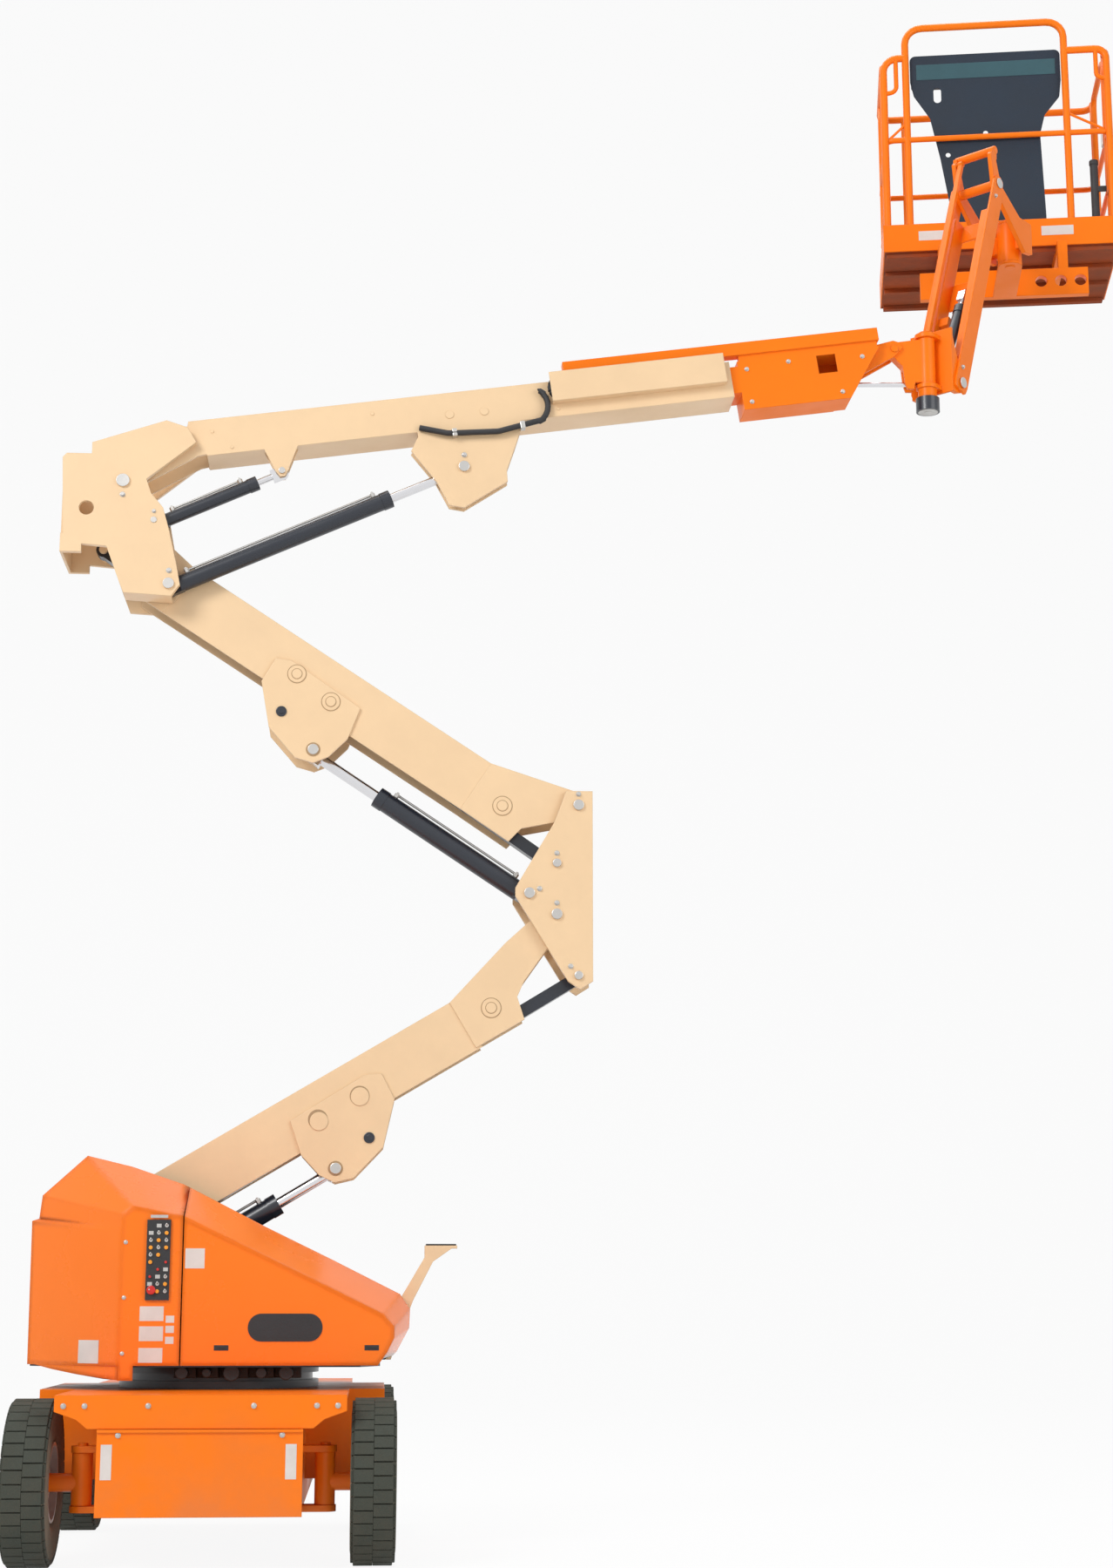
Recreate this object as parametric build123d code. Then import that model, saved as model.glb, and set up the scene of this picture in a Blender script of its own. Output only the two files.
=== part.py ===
from build123d import *
from math import asin, atan2, cos, degrees, hypot, radians, sin, sqrt
import os

os.makedirs("parts", exist_ok=True)

# Articulating boom lift. Millimetres, +X towards the boom tip, +Z up, origin on the
# ground under the slewing axis. y values without a sign are measured from a boom's
# own centre plane.

# ---- driving dimensions --------------------------------------------------------
FIT = 0.3                 # clearance between parts that turn or slide on each other
TYRE_DIA = 635.0
TYRE_WIDTH = 178.0
RIM_RADIUS = 152.0
TRACK = 1320.0            # between tyre centre planes, along X
WHEELBASE = 1650.0        # between axles, along Y
SPINDLE_RADIUS = 35.0
KINGPIN_X = 470.0
KINGPIN_RADIUS = 20.0
YOKE_PLATE = 25.0         # thickness of a steering yoke arm
YOKE_LOW = 205.0          # underside of the lower arm
YOKE_HIGH = 455.0         # top of the upper arm
FRAME_HALF_WIDTH = 380.0
FRAME_BOTTOM = 205.0
FRAME_TOP = 655.0
FRAME_HALF_LENGTH = 1088.0
DECK_HALF_WIDTH = 555.0
DECK_THICKNESS = 15.0
BEAM_DEPTH = 125.0
SHEET = 12.0
MIDDLE_HALF_WIDTH = 700.0
MIDDLE_HALF_LENGTH = 440.0
MIDDLE_FRONT = 402.0      # the same towards the steered wheels, which swing past it
MIDDLE_BOTTOM = 300.0
RING_RADIUS = 420.0
RING_BORE = 260.0
TABLE_BOTTOM = 745.0
TABLE_THICKNESS = 20.0
TOWER_Y = 40.0            # centre plane of the two tower booms
MAIN_Y = -45.0            # centre plane of the main boom and the fly
CYLINDER_Y = -112.0       # centre plane of the main boom's two cylinders
PIN_RADIUS = 25.0
LINK_PIN_RADIUS = 20.0
BOSS_RADIUS = 62.0
UPRIGHT_GAP = 103.0       # from the tower's centre plane to an upright's inner face
UPRIGHT_PLATE = 22.0
LOWER_HALF = 80.0         # half width of the lower boom's box
MIDDLE_HALF = 93.0        # half width of the middle boom's box
MAIN_HALF = 100.0         # half width of the main boom's box
BOX_WALL = 8.0
LIFT_EYE_HALF = 40.0      # half width of a tower cylinder's eyes
SIDE_EYE_HALF = 18.0      # the same on the main boom's two cylinders
LUG_PLATE = 12.0
LOWER_ANGLE = 30.7        # slope of each box, in degrees
MIDDLE_ANGLE = 33.2
MAIN_ANGLE = 8.2
LOWER_TOP = -64.0         # box faces, measured across the boom from its root pin
LOWER_BOTTOM = -304.0
MIDDLE_TOP = -54.0
MIDDLE_BOTTOM_FACE = -304.0
MAIN_BOTTOM = 88.0
MAIN_TOP = 260.0
FLY_HALF = 84.0
FLY_BOTTOM = 110.0
FLY_TOP = 238.0

# Pins of the tower and the main boom, as (x, z).
ROOT = (-680.0, 1390.0)
LOWER_LINK_ROOT = (-584.0, 1118.0)
LOWER_HEAD = (1433.0, 2683.0)
LOWER_LINK_HEAD = (1529.0, 2411.0)
MIDDLE_ROOT = (1530.0, 3176.0)
MIDDLE_LINK_ROOT = (1433.0, 2912.0)
MAIN_ROOT = (-526.0, 4610.0)
MIDDLE_LINK_HEAD = (-623.0, 4346.0)
LOWER_LIFT_BASE = (-420.0, 1030.0)
LOWER_LIFT_PIN = (477.0, 1568.0)
MIDDLE_LIFT_BASE = (1311.0, 2776.0)
MIDDLE_LIFT_PIN = (344.0, 3416.0)
MAIN_LIFT_BASE = (-309.0, 4135.0)
MAIN_LIFT_PIN = (1005.0, 4729.0)
MASTER_BASE = (-384.0, 4430.0)
MASTER_PIN = (180.0, 4690.0)
LEVEL_PIVOT = (3020.0, 5380.0)
LEVEL_PIN = (3099.0, 5218.0)

# Jib and platform.
SWING_X = 3180.0          # vertical axis that the jib swings about
JIB_HEADING = 46.0
JIB_ANGLE = 69.9
JIB_REACH = 110.0         # from the swing axis to the jib's lower pivot
JIB_PIVOT_Z = 5232.0
JIB_LENGTH = 1240.0
JIB_HALF = 112.0
ROTATOR_REACH = 300.0     # from the jib's upper pivot to the platform's axis
PLATFORM_HEADING = 80.0
PLATFORM_WIDTH = 1220.0
PLATFORM_DEPTH = 760.0
PLATFORM_SETBACK = 430.0  # from the platform's axis to its rear edge
FLOOR_Z = 6390.0
RAIL_HEIGHT = 1130.0
RAIL_RADIUS = 19.0


# ---- small shape helpers -------------------------------------------------------
def block(x0, x1, y0, y1, z0, z1):
    """A box between two corners."""
    return Solid.make_box(x1 - x0, y1 - y0, z1 - z0, Plane((x0, y0, z0)))


def plate(points, y0, y1):
    """A plate cut to an outline of (x, z) points, from y0 to y1."""
    outline = Wire.make_polygon([Vector(x, y0, z) for x, z in points])
    return Solid.extrude(Face(outline), Vector(0, y1 - y0, 0))


def disc(centre, y0, y1, radius):
    """A round along Y about an (x, z) centre."""
    return Solid.make_cylinder(radius, y1 - y0, Plane((centre[0], y0, centre[1]), z_dir=(0, 1, 0)))


def post(x, y, z0, z1, radius):
    """A vertical round."""
    return Solid.make_cylinder(radius, z1 - z0, Plane((x, y, z0)))


def bar(start, end, radius):
    """A round between two points in space."""
    way = Vector(*end) - Vector(*start)
    return Solid.make_cylinder(radius, way.length, Plane(start, z_dir=way))


def pair(make, inner, outer, centre=0.0):
    """The same plate on both sides of a centre plane."""
    return [make(centre + inner, centre + outer), make(centre - outer, centre - inner)]


def fused(first, *others):
    """All the shapes as one."""
    rest = []
    for other in others:
        rest += other if isinstance(other, list) else [other]
    return first + rest


def between(start, end):
    """Distance and slope in degrees from one (x, z) point to another."""
    return hypot(end[0] - start[0], end[1] - start[1]), degrees(atan2(end[1] - start[1], end[0] - start[0]))


def link(start, end, half, y0, y1, bore):
    """A flat bar with an eye at each (x, z) end."""
    length, slope = between(start, end)
    body = block(0, length, y0, y1, -half, half)
    body = fused(body, disc((0, 0), y0, y1, half + 6), disc((length, 0), y0, y1, half + 6))
    body = body - [disc((0, 0), y0 - 1, y1 + 1, bore), disc((length, 0), y0 - 1, y1 + 1, bore)]
    return body.moved(frame_at(start, slope))


def frame_at(origin, slope, y=0.0, mirrored=False):
    """Where a part drawn along +X goes: its root point, its slope and its centre plane."""
    run, rise = cos(radians(slope)), sin(radians(slope))
    if mirrored:
        return Plane((origin[0], y, origin[1]), x_dir=(-run, 0, rise), z_dir=(rise, 0, run)).location
    return Plane((origin[0], y, origin[1]), x_dir=(run, 0, rise), z_dir=(-rise, 0, run)).location


def seen_from(origin, slope, point, mirrored=False):
    """An (x, z) point in the coordinates of such a frame."""
    dx, dz = point[0] - origin[0], point[1] - origin[1]
    run, rise = cos(radians(slope)), sin(radians(slope))
    if mirrored:
        return (-dx * run + dz * rise, dx * rise + dz * run)
    return (dx * run + dz * rise, -dx * rise + dz * run)


def turned(profile, origin, direction):
    """A solid of revolution: (radius, height) points about an axis."""
    outline = Wire.make_polygon([Vector(r, 0, h) for r, h in profile])
    solid = Solid.revolve(Face(outline), 360, Axis.Z)
    return solid.moved(Plane(origin, z_dir=direction).location)


def save(shape, name):
    export_step(shape, "parts/" + name + ".step")


# ---- chassis -------------------------------------------------------------------
frame_outer = fused(
    block(-FRAME_HALF_WIDTH, FRAME_HALF_WIDTH, -FRAME_HALF_LENGTH, FRAME_HALF_LENGTH, FRAME_BOTTOM, FRAME_TOP),
    block(-MIDDLE_HALF_WIDTH, MIDDLE_HALF_WIDTH, -MIDDLE_FRONT, MIDDLE_HALF_LENGTH, MIDDLE_BOTTOM, FRAME_TOP),
    block(-DECK_HALF_WIDTH, DECK_HALF_WIDTH, -FRAME_HALF_LENGTH, FRAME_HALF_LENGTH, FRAME_TOP - DECK_THICKNESS, FRAME_TOP),
)
frame_inner = fused(
    block(-FRAME_HALF_WIDTH + SHEET, FRAME_HALF_WIDTH - SHEET, -FRAME_HALF_LENGTH + SHEET,
          FRAME_HALF_LENGTH - SHEET, FRAME_BOTTOM - 1, FRAME_TOP - DECK_THICKNESS),
    block(-MIDDLE_HALF_WIDTH + SHEET, MIDDLE_HALF_WIDTH - SHEET, -MIDDLE_FRONT + SHEET,
          MIDDLE_HALF_LENGTH - SHEET, MIDDLE_BOTTOM - 1, FRAME_TOP - DECK_THICKNESS),
)
BEAM = [(-DECK_HALF_WIDTH, FRAME_TOP), (-DECK_HALF_WIDTH, 594), (-470, 564), (-428, FRAME_TOP - BEAM_DEPTH),
        (428, FRAME_TOP - BEAM_DEPTH), (470, 564), (DECK_HALF_WIDTH, 594), (DECK_HALF_WIDTH, FRAME_TOP)]
chassis = frame_outer - frame_inner
extras = []
for end in (-1, 1):
    face = end * FRAME_HALF_LENGTH
    low, high = sorted((face, face + end * SHEET))
    extras.append(plate(BEAM, low, high))
    low, high = sorted((face, face + end * 14))
    extras.append(block(-390, 390, low, high, FRAME_BOTTOM, FRAME_TOP - BEAM_DEPTH - 2))
    low, high = sorted((face, face + end * 22))
    extras.append(block(-390, 390, low, high, FRAME_TOP - BEAM_DEPTH - 14, FRAME_TOP - BEAM_DEPTH - 2))
for side in (-1, 1):
    for z0 in (YOKE_LOW, YOKE_HIGH - YOKE_PLATE):
        x0, x1 = sorted((side * (FRAME_HALF_WIDTH - 5), side * KINGPIN_X))
        arm = block(x0, x1, -WHEELBASE / 2 - 45, -WHEELBASE / 2 + 45, z0, z0 + YOKE_PLATE)
        extras += [arm, post(side * KINGPIN_X, -WHEELBASE / 2, z0, z0 + YOKE_PLATE, 45)]
    extras.append(post(side * KINGPIN_X, -WHEELBASE / 2, YOKE_LOW, YOKE_HIGH + 10, KINGPIN_RADIUS))
chassis = fused(chassis, extras)
save(chassis, "chassis_frame")

# Cast block under the deck, between the cross walls.
save(block(-330, 330, -MIDDLE_FRONT + SHEET + 10, MIDDLE_HALF_LENGTH - SHEET - 40,
           FRAME_TOP - DECK_THICKNESS - 270, FRAME_TOP - DECK_THICKNESS), "chassis_ballast")

save(turned([(RING_BORE, FRAME_TOP), (RING_RADIUS, FRAME_TOP), (RING_RADIUS, FRAME_TOP + 30),
             (RING_RADIUS - 25, FRAME_TOP + 30), (RING_RADIUS - 25, FRAME_TOP + 60),
             (RING_RADIUS, FRAME_TOP + 60), (RING_RADIUS, TABLE_BOTTOM - FIT), (RING_BORE, TABLE_BOTTOM - FIT)],
            (0, 0, 0), (0, 0, 1)), "slewing_ring")

AXLE_Z = TYRE_DIA / 2
hubs = []
for side in (-1, 1):
    hubs.append(bar((side * FRAME_HALF_WIDTH, WHEELBASE / 2, AXLE_Z),
                    (side * (TRACK / 2 - 62), WHEELBASE / 2, AXLE_Z), 85))
    hubs.append(bar((side * (TRACK / 2 - 62), WHEELBASE / 2, AXLE_Z),
                    (side * (TRACK / 2 + 15), WHEELBASE / 2, AXLE_Z), SPINDLE_RADIUS))
save(fused(hubs[0], hubs[1:]), "drive_hubs")

for name, side in (("left", -1), ("right", 1)):
    knuckle = post(side * KINGPIN_X, -WHEELBASE / 2, YOKE_LOW + YOKE_PLATE + FIT, YOKE_HIGH - YOKE_PLATE - FIT, 40)
    knuckle = fused(knuckle, bar((side * KINGPIN_X, -WHEELBASE / 2, AXLE_Z),
                                 (side * (TRACK / 2 + 15), -WHEELBASE / 2, AXLE_Z), SPINDLE_RADIUS))
    knuckle = knuckle - post(side * KINGPIN_X, -WHEELBASE / 2, YOKE_LOW, YOKE_HIGH, KINGPIN_RADIUS + FIT)
    save(knuckle, "steering_knuckle_" + name)

HALF_TREAD = TYRE_WIDTH / 2
TYRE_PROFILE = [
    (RIM_RADIUS, -70), (RIM_RADIUS, 70), (180, 86), (250, HALF_TREAD), (300, HALF_TREAD),
    (TYRE_DIA / 2, HALF_TREAD - 14), (TYRE_DIA / 2, -HALF_TREAD + 14), (300, -HALF_TREAD), (250, -HALF_TREAD), (180, -86),
]
RIM_PROFILE = [
    (SPINDLE_RADIUS + FIT, -60), (70, -60), (70, 12), (RIM_RADIUS - 12, 12), (RIM_RADIUS - 12, -80),
    (RIM_RADIUS, -80), (RIM_RADIUS, 80), (RIM_RADIUS - 12, 80), (RIM_RADIUS - 12, 30), (60, 30),
    (55, 62), (0, 62), (0, 22), (SPINDLE_RADIUS + FIT, 22),
]
for name, side, axle in (("front_left", -1, -1), ("front_right", 1, -1), ("rear_left", -1, 1), ("rear_right", 1, 1)):
    hub = (side * TRACK / 2, axle * WHEELBASE / 2, AXLE_Z)
    save(turned(TYRE_PROFILE, hub, (side, 0, 0)), "tyre_" + name)
    save(turned(RIM_PROFILE, hub, (side, 0, 0)), "rim_" + name)

# ---- turntable -----------------------------------------------------------------
NEAR_CHANNEL = 125.0      # hood edge beside the booms, near side
FAR_CHANNEL = 205.0       # the same, far side
HOOD_HALF = 600.0
TABLE_TOP = TABLE_BOTTOM + TABLE_THICKNESS
CHEEK = [(-760, TABLE_TOP), (-765, 1330), (-735, 1440), (-690, 1455), (-620, 1440), (-560, 1300), (-500, 1200),
         (-350, 1100), (-350, TABLE_TOP)]
TABLE_PLAN = [(-765, -250), (-395, -560), (600, -560), (680, -380), (680, 380), (600, 560), (-395, 560), (-765, 250)]
table = Solid.extrude(Face(Wire.make_polygon([Vector(x, y, TABLE_BOTTOM) for x, y in TABLE_PLAN])),
                      Vector(0, 0, TABLE_THICKNESS))
cheeks = []
for y0, y1 in ((TOWER_Y - UPRIGHT_GAP - UPRIGHT_PLATE, TOWER_Y - UPRIGHT_GAP),
               (TOWER_Y + UPRIGHT_GAP, TOWER_Y + UPRIGHT_GAP + UPRIGHT_PLATE)):
    cheeks.append(plate(CHEEK, y0, y1))
cheek_out = UPRIGHT_GAP + UPRIGHT_PLATE
for centre, radius in ((ROOT, PIN_RADIUS), (LOWER_LINK_ROOT, LINK_PIN_RADIUS), (LOWER_LIFT_BASE, PIN_RADIUS)):
    cheeks.append(disc(centre, TOWER_Y - cheek_out - 4, TOWER_Y + cheek_out + 4, radius))
LINER = [(-765, TABLE_TOP), (-765, 1330), (-735, 1440), (-556, 1598), (-371, 1553), (-127, 1468), (755, 1031),
         (795, 970), (792, 900), (742, 806), (700, TABLE_TOP)]
cheeks.append(plate(LINER, -NEAR_CHANNEL + FIT, -NEAR_CHANNEL + FIT + 5))
cheeks.append(plate(LINER, FAR_CHANNEL - FIT - 5, FAR_CHANNEL - FIT))
save(fused(table, cheeks), "turntable_frame")

weight = []
for side in (-1, 1):
    plan = [(-725, 215), (-725, 262), (-400, 535), (-300, 535), (-300, 215)]
    outline = Wire.make_polygon([Vector(x, side * y, TABLE_TOP) for x, y in plan])
    weight.append(Solid.extrude(Face(outline), Vector(0, 0, 420)))
save(fused(weight[0], weight[1:]), "counterweight")

packs = []
for side in (-1, 1):
    y0, y1 = sorted((side * 240, side * 540))
    packs.append(block(-90, 440, y0, y1, TABLE_TOP, TABLE_TOP + 260))
save(fused(packs[0], packs[1:]), "battery_packs")


# Sheet-metal hoods: a constant section beside the boom channel, tapering to the outer side.
def hood(inner, outer, side, near, mid, far, wall, seam, open_end):
    def layer(rows_in, rows_out, y_near, y_far):
        core = plate(rows_in, *sorted((side * y_near, side * mid)))
        wires = [Wire.make_polygon([Vector(x, side * y, z) for x, z in rows])
                 for rows, y in ((rows_in, mid), (rows_out, y_far))]
        return fused(core, Solid.make_loft(wires, True))
    shell = layer(inner, outer, near, far)
    hollow = layer(shrunk(inner, wall, seam, open_end), shrunk(outer, wall, seam, open_end), near - 1, far - wall)
    return shell - hollow


def shrunk(points, gap, seam, open_end):
    """An outline moved inwards by a wall, left open underneath and at the seam."""
    area = sum(a[0] * b[1] - b[0] * a[1] for a, b in zip(points, points[1:] + points[:1]))
    turn = 1 if area > 0 else -1
    lines = []
    for a, b in zip(points, points[1:] + points[:1]):
        length = hypot(b[0] - a[0], b[1] - a[1])
        nx, nz = -(b[1] - a[1]) / length * turn, (b[0] - a[0]) / length * turn
        lines.append((nx, nz, nx * a[0] + nz * a[1] + gap))
    result = []
    for (a1, b1, c1), (a2, b2, c2) in zip(lines[-1:] + lines[:-1], lines):
        det = a1 * b2 - a2 * b1
        result.append(((c1 * b2 - c2 * b1) / det, (a1 * c2 - a2 * c1) / det))
    lowest = min(z for x, z in result)
    return [(x + open_end * 2 * gap if abs(x - seam) < 2 * gap else x, z - 30 if z < lowest + 1 else z)
            for x, z in result]


HOOD_SEAM = -127.0
HOOD_BOTTOM = 752.0
FRONT_INNER = [(HOOD_SEAM + 5, HOOD_BOTTOM), (HOOD_SEAM + 5, 1472), (189, 1314), (474, 1177), (759, 1036),
               (802, 974), (799, 898), (748, 802), (700, HOOD_BOTTOM)]
FRONT_OUTER = [(HOOD_SEAM + 5, HOOD_BOTTOM), (HOOD_SEAM + 5, 1344), (189, 1195), (474, 1060), (690, 955),
               (735, 905), (735, 860), (705, 800), (670, HOOD_BOTTOM)]
REAR_INNER = [(HOOD_SEAM, HOOD_BOTTOM), (HOOD_SEAM, 1475), (-154, 1488), (-371, 1561), (-559, 1606),
              (-740, 1440), (-750, 1345), (-779, 1335), (-775, HOOD_BOTTOM)]
REAR_OUTER = [(HOOD_SEAM, HOOD_BOTTOM), (HOOD_SEAM, 1347), (-170, 1352), (-260, 1372), (-330, 1385),
              (-372, 1350), (-374, 1300), (-376, 1280), (-378, HOOD_BOTTOM)]
for name, side, near in (("near", -1, NEAR_CHANNEL), ("far", 1, FAR_CHANNEL)):
    save(hood(FRONT_INNER, FRONT_OUTER, side, near, 330, HOOD_HALF, 5, HOOD_SEAM + 5, -1), "hood_" + name)
rear = [hood(REAR_INNER, REAR_OUTER, side, near, 260, HOOD_HALF, 5, HOOD_SEAM, 1)
        for side, near in ((-1, NEAR_CHANNEL), (1, FAR_CHANNEL))]
tail = block(-779, -773, -NEAR_CHANNEL - 10, FAR_CHANNEL + 10, HOOD_BOTTOM, 1100)
apron = [block(-370, -310, y, y + 5, 694, HOOD_BOTTOM + 10) for y in (-HOOD_HALF, HOOD_HALF - 5)]
save(fused(rear[0], rear[1], tail, apron), "rear_cover")

panel = block(-270, -175, -HOOD_HALF - 12, -HOOD_HALF, 1010, 1330)
save(panel, "control_panel")

# Rest for the folded booms, standing in the channel at the front of the turntable.
rest = plate([(560, TABLE_TOP), (725, TABLE_TOP), (817, 1010), (900, 1172), (980, 1228), (1003, 1228),
              (1003, 1240), (864, 1240), (864, 1190), (773, 1035), (690, 900)], -118, -62)
save(rest, "boom_rest")

# ---- tower: lower boom ---------------------------------------------------------
LOWER = frame_at(ROOT, LOWER_ANGLE, TOWER_Y)
s_head, t_head = seen_from(ROOT, LOWER_ANGLE, LOWER_HEAD)
s_lift, t_lift = seen_from(ROOT, LOWER_ANGLE, LOWER_LIFT_PIN)
BRACKET = [(-68, 275), (310, 285), (375, 255), (368, 130), (222, -25), (46, -75), (-34, -50), (-75, 10), (-100, 125)]
BOX_END = 1900.0


def channel_box(start, end, half, top, bottom, wall):
    """A boom box, open underneath."""
    return block(start, end, -half, half, bottom, top) - block(
        start - 1, end + 1, -half + wall, half - wall, bottom - 1, top - wall)


lower = channel_box(165, BOX_END, LOWER_HALF, LOWER_TOP, LOWER_BOTTOM, BOX_WALL)
root_cheek = [(-62, 0), (-44, 44), (0, BOSS_RADIUS), (30, 55), (260, LOWER_TOP), (260, LOWER_BOTTOM),
              (162, LOWER_BOTTOM), (125, -230), (70, -165), (-20, -58), (-50, -36)]
head_cheek = [(1873, -294), (2120, -294), (2143, -192), (2204, -148), (2368, -74), (s_head + 30, t_head - 62),
              (s_head + 62, t_head), (s_head + 44, t_head + 44), (s_head, t_head + BOSS_RADIUS), (2217, 40),
              (1873, LOWER_TOP)]
bracket = [(s_lift + ds, t_lift + dt) for ds, dt in BRACKET]
pieces = []
for outline, inner, outer in ((root_cheek, LOWER_HALF - BOX_WALL, LOWER_HALF),
                              (head_cheek, LOWER_HALF - BOX_WALL, LOWER_HALF + 6),
                              (bracket, LOWER_HALF, LOWER_HALF + LUG_PLATE)):
    pieces += [plate(outline, inner, outer), plate(outline, -outer, -inner)]
for centre, inner in (((0, 0), LOWER_HALF - BOX_WALL), ((s_head, t_head), LOWER_HALF - BOX_WALL)):
    pieces += [disc(centre, inner, UPRIGHT_GAP - FIT, BOSS_RADIUS - 12),
               disc(centre, -UPRIGHT_GAP + FIT, -inner, BOSS_RADIUS - 12)]
for side in (-1, 1):
    y0, y1 = sorted((side * (LIFT_EYE_HALF + 1), side * (LOWER_HALF + LUG_PLATE + 6)))
    pieces.append(disc((s_lift, t_lift), y0, y1, PIN_RADIUS))
for ds, dt in ((38, 212), (244, 215)):
    centre = (s_lift + ds, t_lift + dt)
    pieces += [disc(centre, LOWER_HALF, LOWER_HALF + LUG_PLATE + 4, 40),
               disc(centre, -LOWER_HALF - LUG_PLATE - 4, -LOWER_HALF, 40)]
lower = fused(lower, pieces)
lower = lower - [disc((0, 0), -200, 200, PIN_RADIUS + FIT), disc((s_head, t_head), -200, 200, PIN_RADIUS + FIT)]
save(lower.moved(LOWER), "lower_boom")

LINK_HALF = 28.0
save(link(LOWER_LINK_ROOT, LOWER_LINK_HEAD, LINK_HALF, TOWER_Y - 30, TOWER_Y + 30, LINK_PIN_RADIUS + FIT),
     "lower_timing_link")
save(link(MIDDLE_LINK_ROOT, MIDDLE_LINK_HEAD, LINK_HALF, TOWER_Y - 30, TOWER_Y + 30, LINK_PIN_RADIUS + FIT),
     "middle_timing_link")

# ---- tower: lower upright ------------------------------------------------------
UPRIGHT = [(1593, 3240), (1593, 2386), (1536, 2350), (1483, 2385), (1249, 2763), (1249, 2800), (1422, 3097), (1475, 3240)]
upright = plate(UPRIGHT, TOWER_Y - cheek_out, TOWER_Y - UPRIGHT_GAP)
pieces = [plate(UPRIGHT, TOWER_Y + UPRIGHT_GAP, TOWER_Y + cheek_out),
          block(1581, 1593, TOWER_Y - UPRIGHT_GAP, TOWER_Y + UPRIGHT_GAP, 2470, 3080)]
for centre, radius in ((LOWER_HEAD, PIN_RADIUS), (LOWER_LINK_HEAD, LINK_PIN_RADIUS), (MIDDLE_ROOT, PIN_RADIUS),
                       (MIDDLE_LINK_ROOT, LINK_PIN_RADIUS), (MIDDLE_LIFT_BASE, PIN_RADIUS)):
    pieces.append(disc(centre, TOWER_Y - cheek_out - 6, TOWER_Y + cheek_out + 6, radius))
save(fused(upright, pieces), "lower_upright")

# ---- tower: middle boom --------------------------------------------------------
MIDDLE = frame_at(MIDDLE_ROOT, MIDDLE_ANGLE, TOWER_Y, mirrored=True)
s_main, t_main = seen_from(MIDDLE_ROOT, MIDDLE_ANGLE, MAIN_ROOT, mirrored=True)
s_mid, t_mid = seen_from(MIDDLE_ROOT, MIDDLE_ANGLE, MIDDLE_LIFT_PIN, mirrored=True)
MIDDLE_END = 2100.0
middle = channel_box(405, MIDDLE_END, MIDDLE_HALF, MIDDLE_TOP, MIDDLE_BOTTOM_FACE, BOX_WALL)
foot_cheek = [(430, MIDDLE_TOP), (430, MIDDLE_BOTTOM_FACE), (171, -308), (156, -227), (60, -133), (-30, -54),
              (-62, 0), (-44, 44), (0, BOSS_RADIUS)]
top_cheek = [(MIDDLE_END - 60, MIDDLE_TOP), (2300, -10), (s_main - 20, t_main + BOSS_RADIUS - 4),
             (s_main + 44, t_main + 44), (s_main + 62, t_main), (s_main + 44, t_main - 44),
             (s_main, t_main - BOSS_RADIUS), (s_main - 225, t_main - 100), (s_main - 262, t_main - 190),
             (s_main - 330, MIDDLE_BOTTOM_FACE),
             (MIDDLE_END - 60, MIDDLE_BOTTOM_FACE)]
bracket = [(s_mid + ds, t_mid + dt) for ds, dt in BRACKET]
CHEEK_OUT = MIDDLE_HALF + 4
pieces = []
for outline, inner, outer in ((foot_cheek, CHEEK_OUT - LUG_PLATE, CHEEK_OUT), (top_cheek, CHEEK_OUT - LUG_PLATE, CHEEK_OUT),
                              (bracket, MIDDLE_HALF, MIDDLE_HALF + LUG_PLATE)):
    pieces += [plate(outline, inner, outer), plate(outline, -outer, -inner)]
pieces += [disc((0, 0), CHEEK_OUT - LUG_PLATE, UPRIGHT_GAP - FIT, BOSS_RADIUS - 12),
           disc((0, 0), -UPRIGHT_GAP + FIT, -CHEEK_OUT + LUG_PLATE, BOSS_RADIUS - 12)]
for side in (-1, 1):
    y0, y1 = sorted((side * (LIFT_EYE_HALF + 1), side * (MIDDLE_HALF + LUG_PLATE + 4)))
    pieces.append(disc((s_mid, t_mid), y0, y1, PIN_RADIUS))
middle = fused(middle, pieces)
middle = middle - [disc((0, 0), -200, 200, PIN_RADIUS + FIT), disc((s_main, t_main), -200, 200, 30 + FIT)]
save(middle.moved(MIDDLE), "middle_boom")

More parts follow.
